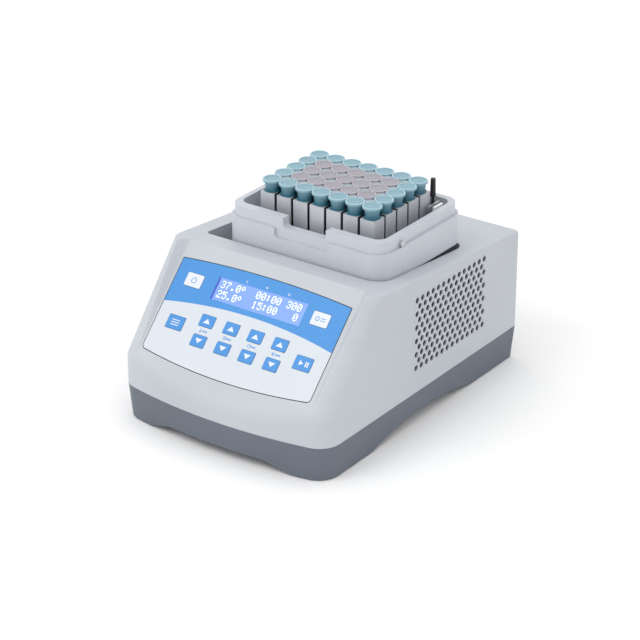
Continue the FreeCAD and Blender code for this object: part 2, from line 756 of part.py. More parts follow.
def base_tray():
    """Grey base: tapered skirt, raised floor, arches along the lower edge."""
    outer = skirt_form("skirt_outer", "0", "Dims.seam_z", "Dims.seam_z - Dims.skirt_lift")
    upper = skirt_form("tray_hollow", "Dims.wall + 0.4", "Dims.seam_z + 1",
                       "Dims.seam_z + 1 - Dims.tray_floor_z - Dims.tray_floor")
    depth = "Dims.seam_z - Dims.tray_floor_z"
    lower = skirt_form("skirt_hollow", f"Dims.wall + 0.4 + ({depth}) * tan(Dims.skirt_taper)",
                       "Dims.tray_floor_z", "12")
    holes = [rod("tray_screw_hole", x, y, "Dims.tray_floor_z - 1", "1.7", "6")
             for x, y in boss_places()]
    slots = [box("tray_slot", f"-44 + 11 * {number}", "30", "Dims.tray_floor_z - 1", "5", "34", "6")
             for number in range(9)]
    return node(cut("base_tray_cut", outer, [upper, lower, side_arch(), front_arch()] + holes + slots),
                "base_tray")


def side_arch():
    """Long cylinder whose crown makes the arches of the two sides."""
    rise = "Dims.side_arch_rise"
    radius = f"(Dims.side_arch_half ^ 2 + {rise} ^ 2) / (2 * {rise})"
    return rod("side_arch", "-150", "Dims.side_arch_y", f"{rise} - {radius}", radius, "300", "X")


def front_arch():
    """Flat-crowned arch with sloping ends, for the front and the rear."""
    body = doc.addObject("PartDesign::Body", "front_arch")
    section = sketch_on(body, "XZ_Plane", "front_arch_section")
    half = "Dims.front_arch_half"
    crown = "(Dims.front_arch_half - Dims.front_arch_ramp)"
    draw(section, [(f"-{half}", "-5"), (half, "-5"), (half, "0"), (crown, "Dims.front_arch_rise"),
                   (f"-{crown}", "Dims.front_arch_rise"), (f"-{half}", "0")])
    base = pad(body, section, "360", middle=True)
    rise = dim("front_arch_rise")
    round_edges(body, base, "Dims.front_arch_round",
                lambda edge: is_along_y(edge) and abs(edge.CenterOfMass.z - rise) < 0.1, "crown")
    return body


def boss_places():
    """Centres of the case screws."""
    return [(f"{side} * Dims.boss_x", f"Dims.boss_{end}_y")
            for side in (-1, 1) for end in ("front", "rear")]


def rubber_feet():
    """Four rubber feet under the tray."""
    feet = []
    for side in (-1, 1):
        for end in ("front", "rear"):
            x = f"{side} * Dims.foot_x"
            y = f"Dims.foot_{end}_y"
            pad_part = cone("foot_pad", x, y, "0", "Dims.foot_radius - 1", "Dims.foot_radius",
                            "Dims.tray_floor_z")
            recess = rod("foot_recess", x, y, "-1", "3", "5")
            feet.append(cut("foot", pad_part, [recess]))
    return node(group("feet", feet), "rubber_feet")


def screw(name, x, y, z, radius, length, head_radius, head_height):
    """Pan-head screw that points up, with its head below z."""
    shank = rod(f"{name}_shank", x, y, z, radius, length)
    head = rod(f"{name}_head", x, y, f"{z} - {head_height}", head_radius, head_height)
    slot_x = box(f"{name}_slot_x", f"{x} - 1.6", f"{y} - 0.3", f"{z} - {head_height} - 1",
                 "3.2", "0.6", "1.9")
    slot_y = box(f"{name}_slot_y", f"{x} - 0.3", f"{y} - 1.6", f"{z} - {head_height} - 1",
                 "0.6", "3.2", "1.9")
    return cut(name, fuse(f"{name}_blank", [shank, head]), [slot_x, slot_y])


def case_screws():
    """Screws from below that hold the two halves of the casing."""
    screws = [screw("case_screw", x, y, "Dims.tray_floor_z", "Dims.case_screw_radius",
                    "Dims.case_screw_length", "2.8", "2")
              for x, y in boss_places()]
    return node(group("case_screw_set", screws), "case_screws")


# ---------------------------------------------------------------- control panel

def keys():
    """Label, centre and size of each key in the panel's axes."""
    table = []
    for column, u in enumerate(ARROW_KEY_U, start=1):
        for way, v in ARROW_KEY_V.items():
            table.append((f"key_{way}_{column}", u, v, "arrow_key"))
    for label, (u, v) in SIDE_KEYS.items():
        table.append((label, u, v, "side_key"))
    return table


def key_slab(name, u, v, kind, grow, w, height):
    """Rounded plate of a key's outline, larger by grow."""
    body = doc.addObject("PartDesign::Body", name)
    sketch = sketch_on(body, "XY_Plane", f"{name}_outline")
    half_u = f"Dims.{kind}_width / 2 + {grow}"
    half_v = f"Dims.{kind}_height / 2 + {grow}"
    draw(sketch, [(f"-({half_u})", f"-({half_v})"), (half_u, f"-({half_v})"),
                  (half_u, half_v), (f"-({half_u})", half_v)])
    round_edges(body, pad(body, sketch, height), "1", is_upright, "corners")
    return at_panel(body, u, v, w)


def key(label, u, v, kind):
    """One key: printed cap, retaining flange and plunger."""
    cap = key_slab(f"{label}_cap", u, v, kind, "0", "-Dims.overlay_thick - 0.1",
                   "Dims.overlay_thick + 0.1 + Dims.key_proud")
    flange = key_slab(f"{label}_flange", u, v, kind, "0.8", "-Dims.overlay_thick - 0.9", "0.85")
    plunger = on_panel_rod(f"{label}_plunger", u, v, "-Dims.overlay_thick - 1.7", "1.6", "1")
    return node(fuse(f"{label}_solid", [cap, flange, plunger]), label)


def front_overlay():
    """Membrane overlay with its openings for the display and the keys."""
    plate = overlay_plate("overlay_plate", "0")
    tools = [display_box("overlay_display_hole", "0", "-3", "4")]
    for label, u, v, kind in keys():
        tools.append(key_slab(f"{label}_hole", u, v, kind, "Dims.key_gap", "-3", "4"))
    return node(cut("front_overlay_cut", plate, tools), "front_overlay")


def display_box(name, grow, w, height):
    """Block of the display's outline in the panel's axes."""
    return on_panel_box(name, f"-Dims.lcd_width / 2 - {grow}", f"-Dims.lcd_height / 2 - {grow}", w,
                        f"Dims.lcd_width + 2 * {grow}", f"Dims.lcd_height + 2 * {grow}", height)


def display():
    """Clear window and the display module behind it."""
    node(display_box("lcd_window_plate", "0", "-1.5", "1.4"), "lcd_window")
    bezel = on_panel_box("lcd_bezel", "-46", "-11.7", "-4.4", "92", "23.4", "2.9")
    glass = display_box("lcd_glass_seat", "-1", "-1.9", "1")
    node(cut("lcd_module_cut", bezel, [glass]), "lcd_module")


def keypad_board():
    """Circuit board behind the panel, with a switch under each key."""
    board = on_panel_box("keypad_board_plate", "-74", "-54", "Dims.board_w", "146", "68",
                         "Dims.board_thick")
    holes = [on_panel_rod("keypad_board_hole", u, v, "Dims.board_w - 1", "1.1", "4")
             for u, v in keypad_screw_places()]
    plate = cut("keypad_board_cut", board, holes)
    switches = [on_panel_rod(f"{label}_switch", u, v, "Dims.board_w + Dims.board_thick", "2.6", "0.75")
                for label, u, v, kind in keys()]
    return node(fuse("keypad_board_solid", [plate] + switches), "keypad_board")


def keypad_screw_places():
    """Centres of the screws of the keypad board, in the panel's axes."""
    return [(u, v) for u in (-72.5, 70) for v in (-52.5, -20)]


def keypad_screw_holes():
    """Blind holes in the case for the keypad board's screws."""
    return [on_panel_rod("keypad_screw_hole", u, v, "-4.3", "0.95", "2")
            for u, v in keypad_screw_places()]


def keypad_screws():
    """Screws that hold the keypad board to the case."""
    screws = []
    for u, v in keypad_screw_places():
        shank = on_panel_rod("keypad_screw_shank", u, v, "Dims.board_w - 0.1", "0.95", "3.4")
        head = on_panel_rod("keypad_screw_head", u, v, "Dims.board_w - 1.2", "1.9", "1.2")
        screws.append(fuse("keypad_screw", [shank, head]))
    return node(group("keypad_screw_set", screws), "keypad_screws")


# ---------------------------------------------------------------- electronics and rear fittings

def control_board():
    """Main board on standoffs, its parts and the transformer beside it."""
    posts = [rod("board_post", x, y, FLOOR, "3", "Dims.standoff_height")
             for x in (-52, 52) for y in (-98, -50)]
    node(group("board_posts", posts), "board_standoffs")
    seat = f"{FLOOR} + Dims.standoff_height"
    node(slab("main_board_plate", "0", "-74", seat, "Dims.main_board_length / 2",
              "Dims.main_board_width / 2", "Dims.board_thick"), "control_board")
    top = f"{seat} + Dims.board_thick"
    parts = [box(name, x, y, top, *size) for name, x, y, size in (
        ("relay", "-46", "-92", ("19", "16", "15")),
        ("drive_chip", "-10", "-86", ("14", "14", "2")),
        ("terminal_row", "14", "-66", ("34", "8", "10")),
        ("heat_sink", "28", "-94", ("18", "14", "20")),
    )]
    parts.append(rod("capacitor_tall", "-38", "-62", top, "6", "16"))
    parts.append(rod("capacitor_short", "-22", "-62", top, "5", "12"))
    node(group("board_part_set", parts), "board_components")
    core = box("transformer_core", "-80", "76", FLOOR, "44", "36", "38")
    coil = box("transformer_coil", "-75", "70", f"{FLOOR} + 5", "34", "48", "28")
    node(fuse("transformer_solid", [core, coil]), "transformer")


def rear_fittings():
    """Power inlet, fuse drawer and rocker switch."""
    socket = rear_block("inlet_socket", "inlet", "12.2", "8.2", "17", "3")
    node(cut("power_inlet_cut", fitting("inlet", "2", "24"), [socket]), "power_inlet")
    pins = [box("inlet_pin", f"Dims.inlet_x + {dx} - 1", "Dims.rear_y - 15",
                f"Dims.rear_row_z + {dz} - 2", "2", "13", "4")
            for dx, dz in ((-7, -2), (7, -2), (0, 2))]
    node(group("inlet_pin_set", pins), "inlet_pins")
    bay = rear_block("fuse_bay", "fuse", "6.3", "6.3", "22", "3")
    node(cut("fuse_holder_cut", fitting("fuse", "2", "24"), [bay]), "fuse_holder")
    drawer = rear_block("fuse_tray", "fuse", "6", "6", "21", "1")
    grip = rear_block("fuse_grip_hole", "fuse", "3", "1", "1", "2")
    node(cut("fuse_drawer_cut", drawer, [grip]), "fuse_drawer")
    bay = rear_block("switch_bay", "switch", "7.3", "10.8", "9", "3")
    node(cut("switch_frame_cut", fitting("switch", "2.5", "22"), [bay]), "switch_frame")
    rocker()


def fitting(place, lip, depth):
    """Body of a rear fitting with the flange that stands on the rear wall."""
    half_width = f"Dims.{place}_half_width"
    half_height = f"Dims.{place}_half_height"
    flange = rear_block(f"{place}_flange", place, f"({half_width} + {lip})", f"({half_height} + 2)",
                        "0", "Dims.flange_thick")
    body = rear_block(f"{place}_body", place, half_width, half_height, depth)
    return fuse(f"{place}_blank", [flange, body])


def rear_block(name, place, half_width, half_height, depth, proud="0"):
    """Block at a rear fitting's place, from depth inside the rear wall to proud of it."""
    return box(name, f"Dims.{place}_x - {half_width}", f"Dims.rear_y - {depth}",
               f"Dims.rear_row_z - {half_height}", f"2 * {half_width}", f"{depth} + {proud}",
               f"2 * {half_height}")


def rocker():
    """Rocker of the switch, resting tilted on its off side, with a dished cap."""
    pivot = ("placement(vector(Dims.switch_x; Dims.rear_y - 4; Dims.rear_row_z); "
             "rotation(vector(1; 0; 0); -Dims.rocker_tilt))")
    drum = rod("rocker_drum", "Dims.switch_x - 7", "Dims.rear_y - 4", "Dims.rear_row_z", "4.6",
               "14", "X")
    cap = doc.addObject("Part::Box", "rocker_cap")
    bind(cap, {"Length": "14", "Width": "6", "Height": "18",
               "Placement": f"{pivot} * placement(vector(-7; -0.5; -9); rotation(0; 0; 0))"})
    dish = doc.addObject("Part::Cylinder", "rocker_dish")
    bind(dish, {"Radius": "31", "Height": "16",
                "Placement": f"{pivot} * placement(vector(-8; 35.2; 0); rotation(vector(0; 1; 0); 90))"})
    node(cut("rocker_cut", fuse("rocker_blank", [drum, cap]), [dish]), "switch_rocker")


def fan():
    """Cooling fan behind the left grille."""
    x = "-Dims.case_width / 2 + Dims.wall"
    frame = box("fan_block", x, "Dims.fan_y - Dims.fan_half", "Dims.fan_z - Dims.fan_half",
                "Dims.fan_depth", "2 * Dims.fan_half", "2 * Dims.fan_half")
    hole = rod("fan_bore", f"{x} - 1", "Dims.fan_y", "Dims.fan_z", "Dims.fan_bore_radius",
               "Dims.fan_depth + 2", "X")
    back = f"{x} + Dims.fan_depth - 3"
    mount = rod("fan_motor_mount", back, "Dims.fan_y", "Dims.fan_z", "11", "3", "X")
    reach = "(Dims.fan_half - 1)"
    arm = box("fan_arm_level", back, f"Dims.fan_y - {reach}", "Dims.fan_z - 1.5", "3",
              f"2 * {reach}", "3")
    cross_arm = box("fan_arm_upright", back, "Dims.fan_y - 1.5", f"Dims.fan_z - {reach}", "3", "3",
                    f"2 * {reach}")
    node(fuse("fan_frame_solid", [cut("fan_ring", frame, [hole]), mount, arm, cross_arm]), "fan_frame")
    hub = rod("fan_hub", f"{x} + 1.5", "Dims.fan_y", "Dims.fan_z", "10", "10", "X")
    blades = [fan_blade(f"{x} + 2.2", number) for number in range(FAN_BLADES)]
    node(fuse("fan_rotor_solid", [hub] + blades), "fan_rotor")


def fan_blade(x, number):
    """One twisted blade of the fan."""
    blade = doc.addObject("Part::Box", "fan_blade")
    bind(blade, {"Length": "9", "Width": "17.5", "Height": "1.2"})
    turn = f"rotation(vector(1; 0; 0); {number} * 360 / {FAN_BLADES})"
    twist = "rotation(vector(0; 1; 0); 28)"
    blade.setExpression("Placement", f"placement(vector({x}; Dims.fan_y; Dims.fan_z); {turn}) * "
                        f"placement(vector(0; 9; 2); {twist})")
    return blade


# ---------------------------------------------------------------- shaking drive

def drive():
    """Motor on the tray, and its bracket on four posts with the idler bushes."""
    x = "Dims.block_x"
    y = "Dims.block_y"
    height = f"Dims.bracket_z - ({FLOOR})"
    can = rod("motor_can", x, y, FLOOR, "Dims.motor_radius", height)
    shaft_bore = rod("motor_bore", x, y, "Dims.bracket_z - 12", "Dims.shaft_radius + Dims.running_gap",
                     "20")
    node(cut("motor_cut", can, [shaft_bore]), "motor")
    posts = [rod("bracket_post", f"{x} + {side} * Dims.post_dx", f"{y} + {end} * Dims.post_dy", FLOOR,
                 "4", height) for side in (-1, 1) for end in (-1, 1)]
    node(group("bracket_post_set", posts), "bracket_posts")
    plate = slab("bracket_plate", x, y, "Dims.bracket_z", "68", "46", "Dims.bracket_thick")
    openings = [rod("bracket_opening", x, y, "Dims.bracket_z - 1", "Dims.shaft_radius + 0.6", "6")]
    bushes = []
    for cx, cy in idler_places():
        openings.append(rod("bush_hole", cx, cy, "Dims.bracket_z - 1", "Dims.bush_radius", "6"))
        sleeve = rod("bush_sleeve", cx, cy, "Dims.bracket_z - 4", "Dims.bush_radius", "9.5")
        bore = rod("bush_bore", cx, cy, "Dims.bracket_z - 6", "Dims.pin_radius + Dims.running_gap",
                   "14")
        bushes.append(cut("idler_bush", sleeve, [bore]))
    node(cut("motor_bracket_cut", plate, openings), "motor_bracket")
    node(group("idler_bush_set", bushes), "idler_bushes")


def eccentric():
    """Eccentric on the motor shaft with its counterweight."""
    x = "Dims.block_x"
    y = "Dims.block_y"
    shaft = rod("eccentric_shaft", x, y, "Dims.bracket_z - 10", "Dims.shaft_radius", "16")
    hub = rod("eccentric_hub_blank", x, y, "Dims.bracket_z + 5", "Dims.eccentric_radius", "10")
    pin = rod("eccentric_pin", f"{x} + Dims.orbit_radius", y, "Dims.bracket_z + 14",
              "Dims.eccentric_pin_radius", "10")
    node(fuse("eccentric_solid", [shaft, hub, pin]), "eccentric_hub")
    weight = rod("weight_disc", x, y, "Dims.bracket_z + 6", "Dims.weight_radius", "7")
    trim = box("weight_trim", f"{x} - 4", f"{y} - 30", "Dims.bracket_z + 5", "40", "60", "9")
    bore = rod("weight_bore", x, y, "Dims.bracket_z + 5", "Dims.eccentric_radius", "9")
    node(cut("counterweight_cut", weight, [trim, bore]), "counterweight")


def idlers():
    """Four idler cranks that keep the carrier from turning."""
    for label, (cx, cy) in zip(IDLERS, idler_places()):
        lower = rod(f"{label}_lower", cx, cy, "Dims.bracket_z - 4", "Dims.pin_radius", "11")
        web = rod(f"{label}_web", cx, cy, "Dims.bracket_z + 6", "7", "4")
        upper = rod(f"{label}_upper", f"{cx} + Dims.orbit_radius", cy, "Dims.bracket_z + 9",
                    "Dims.pin_radius", "12.5")
        node(fuse(f"{label}_solid", [lower, web, upper]), label)


def idler_places():
    """Axes of the idler cranks."""
    return [(f"Dims.block_x + {side} * Dims.idler_dx", f"Dims.block_y + {end} * Dims.idler_dy")
            for side in (-1, 1) for end in (-1, 1)]


def carrier():
    """Shaken plate with the bearing of the eccentric's pin."""
    y = "Dims.block_y"
    orbit_x = "Dims.block_x + Dims.orbit_radius"
    plate = slab("carrier_blank", "Dims.block_x", y, "Dims.carrier_z", "63", "46", "Dims.carrier_thick")
    holes = [rod("carrier_idler_hole", f"{cx} + Dims.orbit_radius", cy, "Dims.carrier_z - 1",
                 "Dims.pin_radius + Dims.running_gap", "6") for cx, cy in idler_places()]
    seat = rod("carrier_bearing_seat", orbit_x, y, "Dims.carrier_z - 1", "Dims.bearing_radius", "6")
    node(cut("carrier_cut", plate, holes + [seat]), "carrier_plate")
    ring = rod("bearing_ring", orbit_x, y, "Dims.carrier_z - 2", "Dims.bearing_radius", "7")
    bore = rod("bearing_bore", orbit_x, y, "Dims.carrier_z - 3",
               "Dims.eccentric_pin_radius + Dims.running_gap", "9")
    node(cut("bearing_cut", ring, [bore]), "orbit_bearing")


def heater():
    """Housing on the carrier with insulation, heater mat, plate and probe."""
    x = "Dims.block_x"
    y = "Dims.block_y"
    low = "Dims.carrier_z + Dims.carrier_thick"
    inner_half_x = "Dims.housing_half_width - Dims.housing_wall"
    inner_half_y = "Dims.housing_half_depth - Dims.housing_wall"
    foam_low = f"{low} + 4"
    shell = slab("housing_blank", x, y, low, "Dims.housing_half_width", "Dims.housing_half_depth",
                 f"Dims.collar_floor_z - ({low})")
    hollow = slab("housing_hollow", x, y, foam_low, inner_half_x, inner_half_y, "60")
    pocket = rod("housing_bearing_pocket", f"{x} + Dims.orbit_radius", y, f"{low} - 1",
                 "Dims.bearing_radius + 0.2", "3.5")
    node(cut("housing_cut", shell, [hollow, pocket]), "heater_housing")
    node(slab("insulation_block", x, y, foam_low, inner_half_x, inner_half_y, "Dims.foam_height"),
         "insulation")
    mat_low = f"{foam_low} + Dims.foam_height"
    node(slab("heater_mat_plate", x, y, mat_low, "50", "35", "Dims.mat_height"), "heater_mat")
    plate_low = f"{mat_low} + Dims.mat_height"
    plate = slab("heater_plate_blank", x, y, plate_low, "51", "36",
                 f"Dims.block_low_z - ({plate_low})")
    probe_z = f"{plate_low} + 3"
    probe_hole = rod("probe_hole", x, f"{y} - 37", probe_z, "1.6", "31", "Y")
    node(cut("heater_plate_cut", plate, [probe_hole]), "heater_plate")
    node(rod("probe_rod", x, f"{y} - 37.5", probe_z, "1.5", "30", "Y"), "temperature_probe")


def collar():
    """Light grey collar round the block, with its notch and stepped ledge."""
    x = "Dims.block_x"
    y = "Dims.block_y"
    rim = rounded_slab("collar_rim", x, y, "Dims.collar_low_z", "Dims.collar_half_width",
                       "Dims.collar_half_depth", "Dims.collar_rim_z - Dims.collar_low_z",
                       "Dims.collar_rim_radius")
    band = rounded_slab("collar_band_form", x, y, "Dims.collar_low_z",
                        "Dims.collar_half_width + Dims.collar_band",
                        "Dims.collar_half_depth + Dims.collar_band",
                        "Dims.collar_step_z - Dims.collar_low_z", "Dims.collar_band_radius")
    middle_x = "(Dims.cavity_left + Dims.cavity_right) / 2"
    middle_y = "(Dims.cavity_front + Dims.cavity_rear) / 2"
    cavity = rounded_slab("collar_cavity", middle_x, middle_y, "Dims.cavity_floor_z",
                          "(Dims.cavity_right - Dims.cavity_left) / 2",
                          "(Dims.cavity_rear - Dims.cavity_front) / 2", "40", "Dims.cavity_radius")
    throat = slab("collar_throat", x, y, "Dims.collar_low_z - 5", "52", "37", "12")
    skirt = slab("collar_underside", x, y, "Dims.collar_low_z - 5", "Dims.housing_half_width",
                 "Dims.housing_half_depth", "5.5")
    stud_x = "Dims.block_x + Dims.collar_half_width - 1.5"
    stud_hole = rod("collar_stud_hole", stud_x, "Dims.stud_y", "Dims.stud_z", "Dims.stud_radius", "5",
                    "X")
    tools = [front_notch("ledge", "10"), front_notch("notch", "30"), cavity, throat, skirt, stud_hole]
    node(cut("collar_cut", fuse("collar_blank", [rim, band]), tools), "collar")
    node(rod("collar_stud", stud_x, "Dims.stud_y", "Dims.stud_z", "Dims.stud_radius", "3.6", "X"),
         "collar_pin")


def front_notch(place, depth):
    """Form that lowers part of the collar's front, with rounded lower corners."""
    form = box(f"{place}_form", f"Dims.{place}_left", "Dims.block_y - Dims.collar_half_depth - 10",
               f"Dims.{place}_z", f"Dims.{place}_right - Dims.{place}_left", depth, "20")
    low = dim(f"{place}_z")
    return rounded(f"{place}_round", form, "Dims.notch_radius",
                   lambda edge: is_along_y(edge) and abs(edge.CenterOfMass.z - low) < 0.1)


def clamp():
    """Retaining clamp behind the block at the right: bracket, pad, lever."""
    x = "Dims.clamp_x"
    y = "Dims.clamp_y"
    z = "Dims.clamp_z"
    floor = "Dims.cavity_floor_z"
    foot = box("clamp_foot", f"{x} + 2.2", f"{y} - 11.6", floor, "9", "11", "2")
    web = box("clamp_web", f"{x} + 2.7", f"{y} - 11.6", floor, "1.5", "15", "28")
    rib = box("clamp_rib", f"{x} + 3.2", f"{y} - 5", floor, "5.6", "1.5", "20.4")
    pin = rod("clamp_pin", f"{x} - 1.6", y, z, "Dims.clamp_pin_radius", "4.6", "X")
    node(fuse("clamp_bracket_solid", [foot, web, rib, pin]), "clamp_bracket")
    node(box("clamp_pad_block", f"{x} + 7.4", f"{y} - 11.6", f"{floor} + 20.4", "2.4", "11.2", "8.6"),
         "clamp_pad")
    eye = rod("clamp_eye", f"{x} - 1.3", y, z, "2", "2.6", "X")
    stem = rod("clamp_stem", x, y, f"{z} + 1", "1.1", "8")
    knob = cone("clamp_knob", x, y, f"{z} + 7.5", "2.2", "1.9", "14")
    bore = rod("clamp_bore", f"{x} - 2", y, z, "Dims.clamp_pin_radius + Dims.running_gap", "4", "X")
    node(cut("clamp_lever_cut", fuse("clamp_lever_blank", [stem, eye, knob]), [bore]), "clamp_lever")


# ---------------------------------------------------------------- block and tubes

def tube_places():
    """Column, row and centre of each tube."""
    places = []
    for column in range(COLUMNS):
        for row in range(ROWS):
            x = f"Dims.block_x + Dims.tube_pitch * {column - (COLUMNS - 1) / 2}"
            y = f"Dims.block_y + Dims.tube_pitch * {row - (ROWS - 1) / 2}"
            places.append((column, row, x, y))
    return places


def is_inner(column, row):
    """True for a tube that has tubes all round it."""
    return 0 < column < COLUMNS - 1 and 0 < row < ROWS - 1


def heating_block():
    """Aluminium block of square columns, each with a tapered well."""
    half_x = "(Dims.tube_pitch * 3 + Dims.column_width / 2)"
    half_y = "(Dims.tube_pitch * 2 + Dims.column_width / 2)"
    blank = slab("block_blank", "Dims.block_x", "Dims.block_y", "Dims.block_low_z", half_x, half_y,
                 "Dims.block_top_z - Dims.block_low_z")
    gap = "Dims.tube_pitch - Dims.column_width"
    tools = []
    for number in range(1, COLUMNS):
        x = f"Dims.block_x + Dims.tube_pitch * {number - COLUMNS / 2} - ({gap}) / 2"
        tools.append(box("groove_across", x, "Dims.block_y - 50", "Dims.groove_z", gap, "100", "40"))
    for number in range(1, ROWS):
        y = f"Dims.block_y + Dims.tube_pitch * {number - ROWS / 2} - ({gap}) / 2"
        tools.append(box("groove_along", "Dims.block_x - 60", y, "Dims.groove_z", "120", gap, "40"))
    for column, row, x, y in tube_places():
        tools.append(rod("well_top", x, y, "Dims.block_top_z - 18", "Dims.well_r", "30"))
        tools.append(cone("well_taper", x, y, "Dims.block_top_z - 34", "2.2", "Dims.well_r", "16"))
    return node(cut("heating_block_cut", blank, tools), "heating_block")


def tube(column, row, x, y):
    """Microtube with its snap lid."""
    slim = "Dims.well_r - Dims.tube_gap"
    shank_low = "Dims.block_top_z - Dims.tube_shank"
    shank = rod("tube_shank", x, y, shank_low, slim, "Dims.tube_shank + 0.6")
    tip = cone("tube_tip", x, y, f"{shank_low} - Dims.tube_tip", "1.8", slim, "Dims.tube_tip")
    neck = cone("tube_neck", x, y, "Dims.block_top_z + 0.6", "5.4", "6.2",
                "Dims.lid_low_z - Dims.block_top_z - 0.6")
    lid = rod("tube_lid", x, y, "Dims.lid_low_z", "Dims.lid_radius",
              "Dims.lid_top_z - Dims.lid_low_z")
    return fuse(f"tube_{column}_{row}", [shank, tip, neck, lid])


def tubes():
    """Outer ring of tubes and the inner field, as two sets."""
    sets = {"outer_tubes": [], "inner_tubes": []}
    for column, row, x, y in tube_places():
        label = "inner_tubes" if is_inner(column, row) else "outer_tubes"
        sets[label].append(tube(column, row, x, y))
    for label, members in sets.items():
        node(group(f"{label}_set", members), label)


# ---------------------------------------------------------------- build and write

def build():
    """Make every sub-part."""
    upper_case()
    vent_grille(-1, "vent_grille_left")
    vent_grille(1, "vent_grille_right")
    base_tray()
    rubber_feet()
    case_screws()
    front_overlay()
    display()
    for label, u, v, kind in keys():
        key(label, u, v, kind)
    keypad_board()
    keypad_screws()
    control_board()
    rear_fittings()
    fan()
    drive()
    eccentric()
    idlers()
    carrier()
    heater()
    collar()
    clamp()
    heating_block()
    tubes()


def check():
    """Stop if any object failed or any sub-part has a bad shape."""
    for obj in doc.Objects:
        if "Invalid" in obj.State or "Error" in obj.State:
            raise RuntimeError(f"{obj.Name} failed: {obj.getStatusString()}")
    for obj in nodes:
        if obj.Shape.isNull() or not obj.Shape.isValid():
            raise RuntimeError(f"{obj.Label} has no valid shape")


def write():
    """Write one STEP file per sub-part."""
    os.makedirs("parts", exist_ok=True)
    for obj in nodes:
        obj.Shape.exportStep(os.path.join("parts", f"{obj.Label}.step"))
        print(f"{obj.Label}: {len(obj.Shape.Solids)} solid(s), {obj.Shape.Volume / 1000:.2f} cm3")


build()
doc.recompute()
check()
write()
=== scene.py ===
import bpy
import bmesh
import json
import math
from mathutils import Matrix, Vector


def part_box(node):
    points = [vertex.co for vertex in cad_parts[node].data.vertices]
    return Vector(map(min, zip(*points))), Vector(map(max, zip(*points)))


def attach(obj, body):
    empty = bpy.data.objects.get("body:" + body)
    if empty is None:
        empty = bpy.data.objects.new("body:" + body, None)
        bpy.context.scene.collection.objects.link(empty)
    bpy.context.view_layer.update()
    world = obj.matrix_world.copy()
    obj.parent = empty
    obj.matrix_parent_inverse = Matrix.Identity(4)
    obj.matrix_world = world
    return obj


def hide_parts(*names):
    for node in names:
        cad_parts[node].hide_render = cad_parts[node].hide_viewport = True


# Looks of the dry block heater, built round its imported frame.  Lengths are in metres.
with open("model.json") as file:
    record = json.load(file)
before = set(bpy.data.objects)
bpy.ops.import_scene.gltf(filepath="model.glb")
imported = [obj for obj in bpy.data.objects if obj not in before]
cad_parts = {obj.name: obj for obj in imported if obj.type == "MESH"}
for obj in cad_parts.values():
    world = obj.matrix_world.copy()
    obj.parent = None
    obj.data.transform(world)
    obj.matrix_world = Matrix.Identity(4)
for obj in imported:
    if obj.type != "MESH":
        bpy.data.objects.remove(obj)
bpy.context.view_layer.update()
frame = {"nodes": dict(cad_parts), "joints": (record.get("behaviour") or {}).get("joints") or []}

MM = 0.001
nodes = frame["nodes"]
joints = {joint["name"]: joint for joint in frame["joints"]}
block_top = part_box("heating_block")[1].z
tube_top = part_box("outer_tubes")[1].z

# Grid of the block's columns, each with one tube.
COLUMNS = 7
ROWS = 5
TUBE_PITCH = 15 * MM
COLUMN_HALF = 6.35 * MM


# ---------------------------------------------------------------- panel axes

press_axis = Vector(joints["key_up_1_press"]["axis"])
panel_out = -press_axis
panel_up = Vector((0, -press_axis.z, press_axis.y))
WINDOW_THICK = 1.4 * MM
WINDOW_SUNK = 0.1 * MM


def box_centre(node):
    """Middle of a CAD node's box."""
    low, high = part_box(node)
    return (low + high) / 2


panel_datum = box_centre("lcd_window") + panel_out * (WINDOW_THICK / 2 + WINDOW_SUNK)


def panel(u, v, w):
    """Point of the panel: u to the right, v up the slope, w outwards."""
    return panel_datum + Vector((u, 0, 0)) + panel_up * v + panel_out * w


def panel_box(node):
    """Lowest and highest u, v, w of a CAD node."""
    spots = [vertex.co - panel_datum for vertex in nodes[node].data.vertices]
    columns = [[spot.x for spot in spots],
               [spot.dot(panel_up) for spot in spots],
               [spot.dot(panel_out) for spot in spots]]
    return Vector(map(min, columns)), Vector(map(max, columns))


# ---------------------------------------------------------------- material helpers

def new_material(name):
    """Empty material with a Principled shader; returns it with its tree and shader."""
    material = bpy.data.materials.new(name)
    material.use_nodes = True
    return material, material.node_tree, shader_of(material)


def shader_of(material):
    """Principled shader of a material."""
    return next(item for item in material.node_tree.nodes if item.type == "BSDF_PRINCIPLED")


def add(tree, kind, **values):
    """New node with its properties and input values set."""
    node = tree.nodes.new(kind)
    for key, value in values.items():
        if key in node.inputs:
            node.inputs[key].default_value = value
        else:
            setattr(node, key, value)
    return node


def object_place(tree, stretch=(1, 1, 1)):
    """Object coordinates, stretched along the axes."""
    place = add(tree, "ShaderNodeTexCoord")
    mapping = add(tree, "ShaderNodeMapping", Scale=stretch)
    tree.links.new(place.outputs["Object"], mapping.inputs["Vector"])
    return mapping.outputs["Vector"]


def noise(tree, place, scale, detail=4.0, roughness=0.55):
    """Noise value at a scale given per metre."""
    node = add(tree, "ShaderNodeTexNoise", Scale=scale, Detail=detail, Roughness=roughness)
    tree.links.new(place, node.inputs["Vector"])
    return node.outputs["Fac"]


def ramp(tree, value, low, high):
    """Value mapped from 0.3..0.7 of the noise to low..high."""
    node = add(tree, "ShaderNodeMapRange")
    node.inputs["From Min"].default_value = 0.3
    node.inputs["From Max"].default_value = 0.7
    node.inputs["To Min"].default_value = low
    node.inputs["To Max"].default_value = high
    tree.links.new(value, node.inputs["Value"])
    return node.outputs["Result"]


def mix_colours(tree, factor, first, second):
    """Colour between two colours or sockets."""
    node = add(tree, "ShaderNodeMix", data_type="RGBA")
    tree.links.new(factor, node.inputs[0])
    for socket, colour in ((node.inputs[6], first), (node.inputs[7], second)):
        if isinstance(colour, tuple):
            socket.default_value = (*colour, 1)
        else:
            tree.links.new(colour, socket)
    return node.outputs[2]


